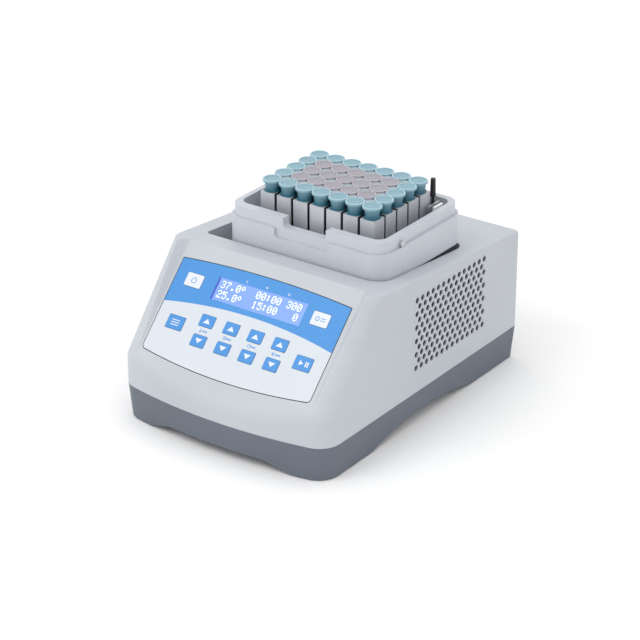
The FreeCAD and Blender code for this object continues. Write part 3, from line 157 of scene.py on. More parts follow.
def bump(tree, shader, height, strength, distance):
    """Bump on a shader's normal; distance is in metres."""
    node = add(tree, "ShaderNodeBump", Strength=strength, Distance=distance)
    tree.links.new(height, node.inputs["Height"])
    tree.links.new(node.outputs["Normal"], shader.inputs["Normal"])


def shade(colour, factor):
    """Lighter or darker version of a colour."""
    return tuple(min(1.0, channel * factor) for channel in colour)


def moulded_plastic(name, colour, roughness=0.42, spread=0.035):
    """Spark-eroded moulded plastic: fine grain, faint clouds, uneven gloss."""
    material, tree, shader = new_material(name)
    place = object_place(tree)
    clouds = ramp(tree, noise(tree, place, 14), 0, 1)
    colour_out = mix_colours(tree, clouds, shade(colour, 1 - spread), shade(colour, 1 + spread))
    tree.links.new(colour_out, shader.inputs["Base Color"])
    gloss = ramp(tree, noise(tree, place, 60, 6), roughness - 0.05, roughness + 0.07)
    tree.links.new(gloss, shader.inputs["Roughness"])
    shader.inputs["Specular IOR Level"].default_value = 0.42
    bump(tree, shader, noise(tree, place, 2600, 3), 0.35, 0.00004)
    return material


def machined_metal(name, colour, roughness, stretch, grain, metallic=0.85):
    """Metal with tool marks drawn out along one direction."""
    material, tree, shader = new_material(name)
    place = object_place(tree, stretch)
    marks = noise(tree, place, grain, 6, 0.7)
    tone = mix_colours(tree, ramp(tree, marks, 0, 1), shade(colour, 0.93), shade(colour, 1.05))
    tree.links.new(tone, shader.inputs["Base Color"])
    tree.links.new(ramp(tree, marks, roughness - 0.06, roughness + 0.1), shader.inputs["Roughness"])
    shader.inputs["Metallic"].default_value = metallic
    bump(tree, shader, marks, 0.25, 0.00003)
    return material


def calculate(tree, operation, first, second=0.0):
    """Result of a math node on numbers or sockets."""
    node = add(tree, "ShaderNodeMath", operation=operation)
    for index, value in enumerate((first, second)):
        if isinstance(value, (int, float)):
            node.inputs[index].default_value = value
        else:
            tree.links.new(value, node.inputs[index])
    return node.outputs[0]


def block_metal(name, colour):
    """Pale blasted aluminium, with painted shade on the walls inside the grooves between the columns."""
    material = machined_metal(name, colour, 0.48, (1, 1, 0.04), 1400, 0.4)
    tree = material.node_tree
    shader = shader_of(material)
    low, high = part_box("heating_block")
    middle = (low + high) / 2
    half = (high - low) / 2
    skin = 0.9 * MM
    wall_margin = 0.07 * MM
    parts = add(tree, "ShaderNodeSeparateXYZ")
    tree.links.new(object_place(tree), parts.inputs["Vector"])
    beside = []
    inside = []
    for index, (axis, count) in enumerate((("X", COLUMNS), ("Y", ROWS))):
        from_middle = calculate(tree, "SUBTRACT", parts.outputs[axis], middle[index])
        shift = 0 if count % 2 else TUBE_PITCH / 2
        shifted = calculate(tree, "ADD", from_middle, shift)
        from_column = calculate(tree, "PINGPONG", shifted, TUBE_PITCH / 2)
        beside.append(calculate(tree, "GREATER_THAN", from_column, COLUMN_HALF - wall_margin))
        away = calculate(tree, "ABSOLUTE", from_middle)
        inside.append(calculate(tree, "LESS_THAN", away, half[index] - skin))
    # Mask of the groove walls between the columns, which get painted shade.
    groove_painted_shade_mask = calculate(tree, "MULTIPLY", calculate(tree, "MAXIMUM", *beside),
                          calculate(tree, "MULTIPLY", *inside))
    tone = shader.inputs["Base Color"].links[0].from_socket
    tree.links.new(mix_colours(tree, groove_painted_shade_mask, tone, GROOVE_PAINTED_SHADE), shader.inputs["Base Color"])
    return material


def rubber(name, colour):
    """Dull moulded rubber."""
    material, tree, shader = new_material(name)
    place = object_place(tree)
    dust = ramp(tree, noise(tree, place, 180, 6), 0, 1)
    tree.links.new(mix_colours(tree, dust, colour, shade(colour, 1.8)), shader.inputs["Base Color"])
    tree.links.new(ramp(tree, noise(tree, place, 400), 0.7, 0.9), shader.inputs["Roughness"])
    bump(tree, shader, noise(tree, place, 1500), 0.4, 0.00006)
    return material


def circuit_board(name):
    """Green lacquered board with a faint pattern of tracks."""
    material, tree, shader = new_material(name)
    place = object_place(tree)
    tracks = add(tree, "ShaderNodeTexVoronoi", Scale=220.0, feature="DISTANCE_TO_EDGE",
                 distance="CHEBYCHEV")
    tree.links.new(place, tracks.inputs["Vector"])
    edge = calculate(tree, "LESS_THAN", tracks.outputs["Distance"], 0.06)
    tone = mix_colours(tree, edge, (0.02, 0.16, 0.07), (0.05, 0.27, 0.12))
    tree.links.new(tone, shader.inputs["Base Color"])
    shader.inputs["Roughness"].default_value = 0.35
    bump(tree, shader, tracks.outputs["Distance"], 0.2, 0.00005)
    return material


def printed_film(name, colour):
    """Printed polyester film: even colour, fine velvet grain."""
    material, tree, shader = new_material(name)
    place = object_place(tree)
    clouds = ramp(tree, noise(tree, place, 40), 0, 1)
    tone = mix_colours(tree, clouds, shade(colour, 0.985), shade(colour, 1.015))
    tree.links.new(tone, shader.inputs["Base Color"])
    tree.links.new(ramp(tree, noise(tree, place, 300, 5), 0.32, 0.42), shader.inputs["Roughness"])
    bump(tree, shader, noise(tree, place, 5200, 2), 0.25, 0.00002)
    return material


def between(tree, value, low, high):
    """Smooth step of a value from 0 at low to 1 at high."""
    node = add(tree, "ShaderNodeMapRange", interpolation_type="SMOOTHSTEP")
    node.inputs["From Min"].default_value = low
    node.inputs["From Max"].default_value = high
    tree.links.new(value, node.inputs["Value"])
    return node.outputs["Result"]


def tube_plastic(name, colour, painted_shade_colour, rim):
    """Translucent polypropylene, with painted shade that darkens it down to the block and a painted highlight
    on the lid's rim.
    """
    material, tree, shader = new_material(name)
    place = object_place(tree)
    parts = add(tree, "ShaderNodeSeparateXYZ")
    tree.links.new(place, parts.inputs["Vector"])
    height = parts.outputs["Z"]
    clouds = ramp(tree, noise(tree, place, 90), 0, 1)
    wall = mix_colours(tree, clouds, shade(colour, 0.96), shade(colour, 1.04))
    # Painted shade: the tube darkens from under the lid down to the block.
    risen = between(tree, height, block_top + 1.2 * MM, tube_top - 1.4 * MM)
    body = mix_colours(tree, risen, painted_shade_colour, wall)
    # Painted highlight: a pale band just under the top edge of the lid.
    tree.links.new(mix_colours(tree, between(tree, height, tube_top - 0.45 * MM, tube_top - 0.12 * MM),
                               body, rim), shader.inputs["Base Color"])
    tree.links.new(ramp(tree, noise(tree, place, 500), 0.28, 0.38), shader.inputs["Roughness"])
    shader.inputs["Subsurface Weight"].default_value = 0.2
    shader.inputs["Subsurface Scale"].default_value = 0.0015
    shader.inputs["IOR"].default_value = 1.49
    bump(tree, shader, noise(tree, place, 700, 3), 0.1, 0.00002)
    return material


def lit_display(name, colour):
    """Back-lit display: brightness varies slowly across it."""
    material, tree, shader = new_material(name)
    place = object_place(tree)
    glow = ramp(tree, noise(tree, place, 18), 0, 1)
    tone = mix_colours(tree, glow, shade(colour, 0.95), shade(colour, 1.05))
    tree.links.new(tone, shader.inputs["Base Color"])
    tree.links.new(tone, shader.inputs["Emission Color"])
    shader.inputs["Emission Strength"].default_value = 0.15
    shader.inputs["Roughness"].default_value = 0.3
    cells = add(tree, "ShaderNodeTexVoronoi", Scale=1600.0, distance="CHEBYCHEV")
    cells.inputs["Randomness"].default_value = 0
    tree.links.new(place, cells.inputs["Vector"])
    bump(tree, shader, cells.outputs["Distance"], 0.1, 0.00002)
    return material


def display_glass(name, colour):
    """Lit display behind a glossy window."""
    material = lit_display(name, colour)
    shader = shader_of(material)
    shader.inputs["Coat Weight"].default_value = 0.5
    shader.inputs["Coat Roughness"].default_value = 0.08
    return material


# ---------------------------------------------------------------- colours

LIGHT_GREY = (0.49, 0.52, 0.56)
COLLAR_GREY = (0.52, 0.55, 0.60)
DARK_GREY = (0.125, 0.145, 0.18)
PRINT_WHITE = (0.61, 0.65, 0.70)
PRINT_BLUE = (0.045, 0.255, 0.63)
KEY_WHITE = (0.70, 0.735, 0.78)
DISPLAY_BLUE = (0.16, 0.30, 0.76)
ALUMINIUM = (0.56, 0.58, 0.615)
# Near-black painted shade for the groove walls of the block.
GROOVE_PAINTED_SHADE = (0.035, 0.04, 0.05)
STEEL = (0.55, 0.56, 0.58)
BLACK = (0.012, 0.012, 0.014)
TEAL = (0.205, 0.37, 0.445)
# Painted shade of the teal tube near the block.
TEAL_PAINTED_SHADE = (0.018, 0.12, 0.175)
# Painted highlight on the teal lid's rim.
TEAL_PAINTED_HIGHLIGHT = (0.42, 0.59, 0.66)
PINK = (0.31, 0.295, 0.34)
# Painted shade of the pink tube near the block.
PINK_PAINTED_SHADE = (0.16, 0.14, 0.18)
# Painted highlight on the pink lid's rim.
PINK_PAINTED_HIGHLIGHT = (0.46, 0.445, 0.49)
WEB_GREY = (0.36, 0.42, 0.46)


def overlay_material():
    """Overlay print: a blue band above a near-white field, with an arched edge."""
    material, tree, shader = new_material("overlay_print")
    low, high = panel_box("front_overlay")
    middle = (low.x + high.x) / 2
    half = (high.x - low.x) / 2
    edge_middle = -13.2 * MM
    edge_drop = 7.3 * MM
    place = object_place(tree)
    parts = add(tree, "ShaderNodeSeparateXYZ")
    tree.links.new(place, parts.inputs["Vector"])

    side = calculate(tree, "DIVIDE", calculate(tree, "SUBTRACT", parts.outputs["X"], middle), half)
    bend = calculate(tree, "MULTIPLY", calculate(tree, "MULTIPLY", side, side), edge_drop)
    arch = calculate(tree, "SUBTRACT", edge_middle, bend)
    from_datum_y = calculate(tree, "SUBTRACT", parts.outputs["Y"], panel_datum.y)
    from_datum_z = calculate(tree, "SUBTRACT", parts.outputs["Z"], panel_datum.z)
    upslope = calculate(tree, "ADD", calculate(tree, "MULTIPLY", from_datum_y, panel_up.y),
                        calculate(tree, "MULTIPLY", from_datum_z, panel_up.z))
    is_blue = calculate(tree, "GREATER_THAN", upslope, arch)
    clouds = ramp(tree, noise(tree, place, 40), 0, 1)
    white = mix_colours(tree, clouds, shade(PRINT_WHITE, 0.985), shade(PRINT_WHITE, 1.01))
    blue = mix_colours(tree, clouds, shade(PRINT_BLUE, 0.98), shade(PRINT_BLUE, 1.02))
    tree.links.new(mix_colours(tree, is_blue, white, blue), shader.inputs["Base Color"])
    tree.links.new(ramp(tree, noise(tree, place, 300, 5), 0.34, 0.44), shader.inputs["Roughness"])
    bump(tree, shader, noise(tree, place, 5200, 2), 0.25, 0.00002)
    return material


# Finishes by material slot; the last four belong to added pieces.
MATERIALS = {
    "case_light": moulded_plastic("case_light", LIGHT_GREY),
    "case_dark": moulded_plastic("case_dark", DARK_GREY, roughness=0.5),
    "collar_grey": moulded_plastic("collar_grey", COLLAR_GREY, roughness=0.4),
    "rubber_black": rubber("rubber_black", BLACK),
    "screw_steel": machined_metal("screw_steel", STEEL, 0.3, (1, 1, 1), 600),
    "overlay_print": overlay_material(),
    "key_blue": printed_film("key_blue", PRINT_BLUE),
    "key_white": printed_film("key_white", KEY_WHITE),
    "lcd_clear": display_glass("lcd_clear", DISPLAY_BLUE),
    "lcd_blue": lit_display("lcd_blue", DISPLAY_BLUE),
    "board_green": circuit_board("board_green"),
    "component_dark": moulded_plastic("component_dark", (0.03, 0.03, 0.035), roughness=0.5),
    "black_plastic": moulded_plastic("black_plastic", BLACK, roughness=0.38, spread=0.2),
    "white_plastic": moulded_plastic("white_plastic", (0.85, 0.85, 0.84), roughness=0.35),
    "aluminium_block": block_metal("aluminium_block", ALUMINIUM),
    "plate_steel": machined_metal("plate_steel", STEEL, 0.35, (30, 1, 1), 60),
    "motor_steel": machined_metal("motor_steel", (0.3, 0.3, 0.32), 0.4, (1, 1, 30), 60),
    "iron_weight": machined_metal("iron_weight", (0.12, 0.12, 0.125), 0.6, (1, 1, 1), 400, 0.6),
    "brass_bush": machined_metal("brass_bush", (0.6, 0.42, 0.16), 0.35, (1, 1, 20), 100),
    "insulation_foam": rubber("insulation_foam", (0.6, 0.58, 0.52)),
    "heater_orange": rubber("heater_orange", (0.5, 0.12, 0.03)),
    "tube_teal": tube_plastic("tube_teal", TEAL, TEAL_PAINTED_SHADE, TEAL_PAINTED_HIGHLIGHT),
    "tube_pink": tube_plastic("tube_pink", PINK, PINK_PAINTED_SHADE, PINK_PAINTED_HIGHLIGHT),
    "lid_web": moulded_plastic("lid_web", WEB_GREY, roughness=0.35),
    # Near-black sheet behind the vent grilles: painted shade inside the case.
    "vent_painted_shade": rubber("vent_painted_shade", (0.008, 0.009, 0.012)),
    "figures": lit_display("display_figures", (0.9, 0.94, 1.0)),
    "display_edge": lit_display("display_edge", (0.02, 0.05, 0.42)),
}


# ---------------------------------------------------------------- CAD nodes

# Edges above this angle, in degrees, stay sharp or get a rounded edge.
SHARP_ANGLE = 32
MERGE_DISTANCE = 0.002 * MM


def smooth_group():
    """Node group that shades smooth and keeps edges above an angle sharp."""
    group = bpy.data.node_groups.new("smooth_by_angle", "GeometryNodeTree")
    group.interface.new_socket("Geometry", in_out="INPUT", socket_type="NodeSocketGeometry")
    group.interface.new_socket("Geometry", in_out="OUTPUT", socket_type="NodeSocketGeometry")
    source = group.nodes.new("NodeGroupInput")
    target = group.nodes.new("NodeGroupOutput")
    drop = group.nodes.new("GeometryNodeRemoveAttribute")
    drop.inputs["Name"].default_value = "custom_normal"
    faces = group.nodes.new("GeometryNodeSetShadeSmooth")
    edges = group.nodes.new("GeometryNodeSetShadeSmooth")
    edges.domain = "EDGE"
    edges.inputs["Shade Smooth"].default_value = False
    angle = group.nodes.new("GeometryNodeInputMeshEdgeAngle")
    steep = group.nodes.new("FunctionNodeCompare")
    steep.data_type = "FLOAT"
    steep.operation = "GREATER_THAN"
    steep.inputs["B"].default_value = math.radians(SHARP_ANGLE)
    group.links.new(source.outputs[0], drop.inputs["Geometry"])
    group.links.new(drop.outputs["Geometry"], faces.inputs["Geometry"])
    group.links.new(faces.outputs["Geometry"], edges.inputs["Geometry"])
    group.links.new(angle.outputs["Unsigned Angle"], steep.inputs["A"])
    group.links.new(steep.outputs["Result"], edges.inputs["Selection"])
    group.links.new(edges.outputs["Geometry"], target.inputs["Geometry"])
    return group


SMOOTH = smooth_group()

# Width of the rounded edge on each kind of part.
EDGE_WIDTH = {
    "upper_case": 0.7 * MM,
    "base_tray": 0.5 * MM,
    "collar": 1.2 * MM,
    "heating_block": 0.28 * MM,
    "front_overlay": 0.08 * MM,
    "clamp_bracket": 0.2 * MM,
    "clamp_pad": 0.4 * MM,
    "power_inlet": 0.5 * MM,
    "fuse_holder": 0.5 * MM,
    "fuse_drawer": 0.4 * MM,
    "switch_frame": 0.5 * MM,
    "switch_rocker": 0.5 * MM,
}
NO_EDGE = ("vent_grille_left", "vent_grille_right")
SMALL_EDGE = 0.06 * MM


def soften(node, width):
    """Round a CAD node's edges a little and shade its curved faces smooth."""
    thing = nodes[node]
    weld = thing.modifiers.new("weld", "WELD")
    weld.merge_threshold = MERGE_DISTANCE
    if width > 0:
        plain = thing.modifiers.new("plain", "DECIMATE")
        plain.decimate_type = "DISSOLVE"
        plain.angle_limit = math.radians(0.2)
        bevel = thing.modifiers.new("edge", "BEVEL")
        bevel.width = width
        bevel.segments = 3
        bevel.limit_method = "ANGLE"
        bevel.angle_limit = math.radians(SHARP_ANGLE)
        bevel.use_clamp_overlap = True
    smooth = thing.modifiers.new("smooth", "NODES")
    smooth.node_group = SMOOTH
    weighted = thing.modifiers.new("weighted", "WEIGHTED_NORMAL")
    weighted.keep_sharp = True
    weighted.weight = 60


def finish_node(node):
    """Give a CAD node its own finish and soft edges."""
    thing = nodes[node]
    slot_name = thing.data.materials[0].name
    thing.data.materials[0] = MATERIALS[slot_name]
    width = 0 if node in NO_EDGE else EDGE_WIDTH.get(node, SMALL_EDGE)
    soften(node, width)


for node_name in sorted(nodes):
    finish_node(node_name)


# ---------------------------------------------------------------- mesh helpers

def make_piece(name, mesh, body, slot_name, material=None):
    """Object for a new piece that rides on a body and takes a slot's finish."""
    thing = bpy.data.objects.new(name, mesh)
    bpy.context.scene.collection.objects.link(thing)
    mesh.materials.append(material or MATERIALS[slot_name])
    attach(thing, body)
    return thing


def mesh_of(name, build):
    """Mesh that a bmesh function fills."""
    work = bmesh.new()
    build(work)
    bmesh.ops.recalc_face_normals(work, faces=work.faces)
    mesh = bpy.data.meshes.new(name)
    work.to_mesh(mesh)
    work.free()
    return mesh


def shade_smooth(thing):
    """Smooth shading with sharp edges kept by angle."""
    modifier = thing.modifiers.new("smooth", "NODES")
    modifier.node_group = SMOOTH


def lathe(work, profile, centre, sides=40):
    """Closed surface of revolution about a vertical line."""
    rings = []
    for radius, z in profile:
        ring = []
        for step in range(sides):
            turn = 2 * math.pi * step / sides
            ring.append(work.verts.new((centre.x + radius * math.cos(turn),
                                        centre.y + radius * math.sin(turn), z)))
        rings.append(ring)
    for low, high in zip(rings, rings[1:]):
        for step in range(sides):
            after = (step + 1) % sides
            work.faces.new((low[step], low[after], high[after], high[step]))
    work.faces.new(rings[0])
    work.faces.new(rings[-1])


def prism(work, outline, low, high):
    """Solid between two copies of an outline; low and high map a 2-D point to space."""
    first = [work.verts.new(low(*point)) for point in outline]
    second = [work.verts.new(high(*point)) for point in outline]
    count = len(outline)
    work.faces.new(first)
    work.faces.new(second)
    for step in range(count):
        after = (step + 1) % count
        work.faces.new((first[step], first[after], second[after], second[step]))


def rounded_outline(half_u, half_v, radius, steps=5):
    """Rectangle with round corners, counter-clockwise."""
    points = []
    for quarter, (side_u, side_v) in enumerate(((1, 1), (-1, 1), (-1, -1), (1, -1))):
        for step in range(steps + 1):
            turn = math.pi / 2 * (quarter + step / steps)
            points.append((side_u * (half_u - radius) + radius * math.cos(turn),
                           side_v * (half_v - radius) + radius * math.sin(turn)))
    return points


def islands(node):
    """Box of each loose part of a CAD node."""
    work = bmesh.new()
    work.from_mesh(nodes[node].data)
    bmesh.ops.remove_doubles(work, verts=work.verts, dist=MERGE_DISTANCE)
    left = set(work.verts)
    boxes = []
    while left:
        stack = [left.pop()]
        low = stack[0].co.copy()
        high = stack[0].co.copy()
        while stack:
            vertex = stack.pop()
            low = Vector(map(min, low, vertex.co))
            high = Vector(map(max, high, vertex.co))
            for edge in vertex.link_edges:
                other = edge.other_vert(vertex)
                if other in left:
                    left.remove(other)
                    stack.append(other)
        boxes.append((low, high))
    work.free()
    return sorted(boxes, key=lambda pair: (round(pair[0].y, 4), round(pair[0].x, 4)))


# ---------------------------------------------------------------- tubes

def tube_profile(low, high):
    """Outline of a closed microtube: radius and height from the tip to the lid's dish."""
    lid_radius = (high.x - low.x) / 2
    barrel = lid_radius - 2.2 * MM
    ring = lid_radius - 1.15 * MM
    return [
        (0.4 * MM, low.z + 0.2 * MM),
        (1.5 * MM, low.z + 0.9 * MM),
        (4.6 * MM, low.z + 15.0 * MM),
        (barrel, low.z + 16.2 * MM),
        (barrel, block_top + 0.05 * MM),
        (ring, block_top + 0.12 * MM),
        (ring, block_top + 1.0 * MM),
        (barrel + 0.4 * MM, block_top + 1.3 * MM),
        (barrel + 0.1 * MM, block_top + 2.4 * MM),
        (barrel + 0.3 * MM, block_top + 4.0 * MM),
        (ring - 0.4 * MM, high.z - 3.2 * MM),
        (ring + 0.1 * MM, high.z - 2.4 * MM),
        (lid_radius - 0.25 * MM, high.z - 2.1 * MM),
        (lid_radius - 0.02 * MM, high.z - 1.8 * MM),
        (lid_radius - 0.02 * MM, high.z - 0.55 * MM),
        (lid_radius - 0.2 * MM, high.z - 0.15 * MM),
        (lid_radius - 0.6 * MM, high.z - 0.02 * MM),
        (lid_radius - 1.0 * MM, high.z - 0.1 * MM),
        (lid_radius - 1.35 * MM, high.z - 0.55 * MM),
        (lid_radius - 3.2 * MM, high.z - 0.7 * MM),
        (0.4 * MM, high.z - 0.74 * MM),
    ]


def tube_set(node, slot_name):
    """Detailed microtubes in the places of a CAD node's plain ones."""
    def build(work):
        for low, high in islands(node):
            centre = (low + high) / 2
            lathe(work, tube_profile(low, high), centre)
            hinge(work, centre, low, high)

    piece = make_piece(f"{node}_detailed", mesh_of(node, build), "tubes", slot_name)
    shade_smooth(piece)
    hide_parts(node)
    return piece


def hinge(work, centre, low, high):
    """Thin living hinge, a strip from the rim up to the lid."""
    reach = (high.y - low.y) / 2 - 0.3 * MM
    half = 2.0 * MM
    top = high.z - 2.3 * MM
    bottom = block_top + 4.5 * MM
    profile = [(reach - 1.2 * MM, bottom), (reach + 0.15 * MM, bottom + 0.4 * MM),
               (reach + 0.25 * MM, top), (reach - 1.2 * MM, top)]

    def side(x):
        return lambda y, z: (centre.x + x, centre.y + y, z)

    prism(work, profile, side(-half), side(half))


def lid_webs():
    """Thin film tabs that join every four lids."""
    low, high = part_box("outer_tubes")
    middle = (low + high) / 2
    radius = 3.9 * MM
    bottom = tube_top - 1.75 * MM
    top = tube_top - 1.15 * MM
    dish = 0.25 * MM
    profile = [(radius, bottom), (radius, top), (0.4 * radius, top - dish)]

    def build(work):
        for across in range(COLUMNS - 1):
            for along in range(ROWS - 1):
                x = (across + 1 - COLUMNS / 2) * TUBE_PITCH
                y = (along + 1 - ROWS / 2) * TUBE_PITCH
                lathe(work, profile, middle + Vector((x, y, 0)), sides=16)

    piece = make_piece("lid_webs", mesh_of("lid_webs", build), "tubes", "tube_teal", MATERIALS["lid_web"])
    shade_smooth(piece)


lid_webs()
tube_set("outer_tubes", "tube_teal")
tube_set("inner_tubes", "tube_pink")


# ---------------------------------------------------------------- panel print

PRINT_LIFT = 0.03 * MM


def printed(name, shapes, body, slot_name, base, lift=PRINT_LIFT, material=None):
    """Thin raised print on the panel; shapes are outlines in u, v and base is its w."""
    def build(work):
        for outline in shapes:
            prism(work, outline, lambda u, v: panel(u, v, base - lift),
                  lambda u, v: panel(u, v, base + lift))

    make_piece(name, mesh_of(name, build), body, slot_name, material)


def moved(outline, u, v):
    """Outline shifted by u, v."""
    return [(point_u + u, point_v + v) for point_u, point_v in outline]


def bar(u, v, half_u, half_v):
    """Small rectangle about u, v."""
    return moved([(-half_u, -half_v), (half_u, -half_v), (half_u, half_v), (-half_u, half_v)], u, v)


def key_middle(key):
    """Centre and top of a key in the panel's axes."""
    low, high = panel_box(key)
    return (low.x + high.x) / 2, (low.y + high.y) / 2, high.z


def arrow_icon(key, way):
    """White triangle of an arrow key; way is 1 for up and -1 for down."""
    u, v, top = key_middle(key)
    half = 3.1 * MM
    tall = 1.9 * MM
    outline = moved([(-half, -tall * way), (half, -tall * way), (0, tall * way)], u, v)
    printed(f"{key}_icon", [outline], key, "key_white", top)


for column in range(1, 5):
    arrow_icon(f"key_up_{column}", 1)
    arrow_icon(f"key_down_{column}", -1)


def ring_outline(radius, start, stop, thick, steps=18):
    """Part of a ring from start to stop, in turns."""
    def arc(size, turns):
        return [(size * math.cos(2 * math.pi * turn), size * math.sin(2 * math.pi * turn))
                for turn in turns]

    turns = [start + (stop - start) * step / steps for step in range(steps + 1)]
    return arc(radius + thick / 2, turns) + arc(radius - thick / 2, reversed(turns))


def side_icons():
    """Plain symbols on the two side keys and the two upper keys."""
    thick = 0.55 * MM
    u, v, top = key_middle("key_side_left")
    menu = [bar(u, v + row * 1.9 * MM, 3.6 * MM, thick * 0.6) for row in (-1, 0, 1)]
    printed("key_side_left_icon", menu, "key_side_left", "key_white", top)
    u, v, top = key_middle("key_side_right")
    play = [moved([(-1.4 * MM, -2.0 * MM), (2.2 * MM, 0), (-1.4 * MM, 2.0 * MM)], u - 1.8 * MM, v),
            bar(u + 2.6 * MM, v, 0.55 * MM, 2.0 * MM), bar(u + 4.3 * MM, v, 0.55 * MM, 2.0 * MM)]
    printed("key_side_right_icon", play, "key_side_right", "key_white", top)
    u, v, top = key_middle("key_top_left")
    power = [moved(ring_outline(2.1 * MM, 0.33, 1.17, thick), u, v),
             bar(u, v + 1.7 * MM, thick / 2, 1.2 * MM)]
    printed("key_top_left_icon", power, "key_top_left", "key_blue", top)
    u, v, top = key_middle("key_top_right")
    lamp = [moved(ring_outline(1.5 * MM, 0.0, 1.0, thick), u - 2.6 * MM, v),
            bar(u + 2.4 * MM, v + 0.9 * MM, 2.2 * MM, thick / 2),
            bar(u + 2.4 * MM, v - 0.9 * MM, 2.2 * MM, thick / 2)]
    printed("key_top_right_icon", lamp, "key_top_right", "key_blue", top)


side_icons()


def small_symbol(kind, u, v):
    """Outlines of one of the small symbols between the key rows."""
    thick = 0.42 * MM
    disc = moved(ring_outline(0.35 * MM, 0, 1, 0.7 * MM), u, v - 0.9 * MM)
    ring = moved(ring_outline(1.1 * MM, 0.08, 0.92, thick), u, v)
    symbols = {
        "warmth": [disc, bar(u, v + 0.4 * MM, 0.3 * MM, 1.2 * MM)],
        "clock": [moved(ring_outline(1.2 * MM, 0, 1, thick), u, v), bar(u, v + 0.4 * MM, 0.2 * MM, 0.6 * MM)],
        "speed": [ring, bar(u + 1.1 * MM, v + 0.7 * MM, 0.5 * MM, 0.5 * MM)],
        "repeat": [ring, bar(u - 0.2 * MM, v, 0.5 * MM, 0.5 * MM)],
    }
    return symbols[kind]


def overlay_marks():
    """Blue symbols between the key rows and small white marks above the display."""
    top = panel_box("front_overlay")[1].z
    shapes = []
    for column, kind in enumerate(("warmth", "clock", "speed", "repeat"), start=1):
        u, above, _ = key_middle(f"key_up_{column}")
        below = key_middle(f"key_down_{column}")[1]
        middle = (above + below) / 2
        shapes += small_symbol(kind, u - 2.2 * MM, middle)
        for step in range(3):
            shapes.append(bar(u + (0.1 + 1.5 * step) * MM, middle, 0.55 * MM, 0.65 * MM))
    printed("overlay_symbols", shapes, "root", "key_blue", top)
    window_top = panel_box("lcd_window")[1].y
    v = window_top + 2.3 * MM
    units = [moved(ring_outline(0.75 * MM, 0.12, 0.88, 0.35 * MM), -16 * MM, v),
             bar(2 * MM, v, 1.1 * MM, 0.25 * MM), bar(2 * MM, v, 0.25 * MM, 1.0 * MM),
             moved(ring_outline(0.8 * MM, 0, 1, 0.35 * MM), 22 * MM, v)]
    printed("overlay_units", units, "root", "key_white", top)


def overlay_rim():
    """Outer edge of the overlay's top face as points u, v in order."""
    work = bmesh.new()
    work.from_mesh(nodes["front_overlay"].data)
    bmesh.ops.remove_doubles(work, verts=work.verts, dist=MERGE_DISTANCE)
    hidden = [face for face in work.faces
              if min((vertex.co - panel_datum).dot(panel_out) for vertex in face.verts) < -0.05 * MM]
    bmesh.ops.delete(work, geom=hidden, context="FACES")
    lowest = min(work.verts, key=lambda vertex: vertex.co.z)
    loop = [lowest]
    previous = None
    while len(loop) == 1 or loop[-1] is not lowest:
        edge = next(edge for edge in loop[-1].link_edges if edge.is_boundary and edge is not previous)
        previous = edge
        loop.append(edge.other_vert(loop[-1]))
    spots = [vertex.co - panel_datum for vertex in loop[:-1]]
    rim = [(spot.x, spot.dot(panel_up)) for spot in spots]
    work.free()
    return rim


def overlay_painted_shadow():
    """Black strip in the gap round the overlay, as one short block per side: a painted shadow of the gap."""
    rim = overlay_rim()
    count = len(rim)
    area = sum(before[0] * after[1] - after[0] * before[1]
               for before, after in zip(rim, rim[1:] + rim[:1]))
    turn = 1 if area > 0 else -1

    def outward(step, distance):
        before = Vector(rim[step - 1])
        after = Vector(rim[(step + 1) % count])
        along = (after - before).normalized() * turn
        return Vector(rim[step]) + Vector((along.y, -along.x)) * distance

    near = 0.03 * MM
    far = 0.5 * MM
    middle_depth = -0.45 * MM
    half_depth = 0.25 * MM
    quads = []
    for step in range(count):
        following = (step + 1) % count
        quads.append([outward(step, near), outward(step, far),
                      outward(following, far), outward(following, near)])
    printed("overlay_gap_painted_shadow", quads, "root", "black_plastic", middle_depth, half_depth)


overlay_painted_shadow()
overlay_marks()


# ---------------------------------------------------------------- vent shade sheets (painted shade)

def vent_shade_sheet(side):
    """Near-black sheet that lies in the wall's opening behind a grille: painted shade inside the case."""
    low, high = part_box(f"vent_grille_{side}")
    inside = -1 if low.x > 0 else 1
    face = low.x if inside < 0 else high.x
    depths = (face + inside * 0.1 * MM, face + inside * 1.2 * MM)
    middle = (low + high) / 2
    half_y = (high.y - low.y) / 2 - 0.4 * MM
    half_z = (high.z - low.z) / 2 - 0.4 * MM

    def layer(x):
        return lambda y, z: (x, middle.y + y, middle.z + z)

    mesh = mesh_of(f"vent_shade_sheet_{side}", lambda work: prism(
        work, rounded_outline(half_y, half_z, 1.5 * MM), layer(depths[0]), layer(depths[1])))
    make_piece(f"vent_shade_sheet_{side}", mesh, "root", "insulation_foam", MATERIALS["vent_painted_shade"])


vent_shade_sheet("left")
vent_shade_sheet("right")


# ---------------------------------------------------------------- display text

# Dots of each letter in rows from the top; the star stands for a degree sign.
GLYPHS = {
    "0": ("01110", "10001", "10011", "10101", "11001", "10001", "01110"),
    "1": ("00100", "01100", "00100", "00100", "00100", "00100", "01110"),
    "2": ("01110", "10001", "00001", "00110", "01000", "10000", "11111"),
    "3": ("01110", "10001", "00001", "00110", "00001", "10001", "01110"),
    "5": ("11111", "10000", "11110", "00001", "00001", "10001", "01110"),
    "7": ("11111", "00001", "00010", "00100", "01000", "01000", "01000"),
    ".": ("00000", "00000", "00000", "00000", "00000", "01100", "01100"),
    ":": ("00000", "01100", "01100", "00000", "01100", "01100", "00000"),
    "*": ("01100", "10010", "10010", "01100", "00000", "00000", "00000"),
    " ": ("00000",) * 7,
}
DISPLAY_LINES = ("37.0*  00:00 300", "25.0*  15:00   0")


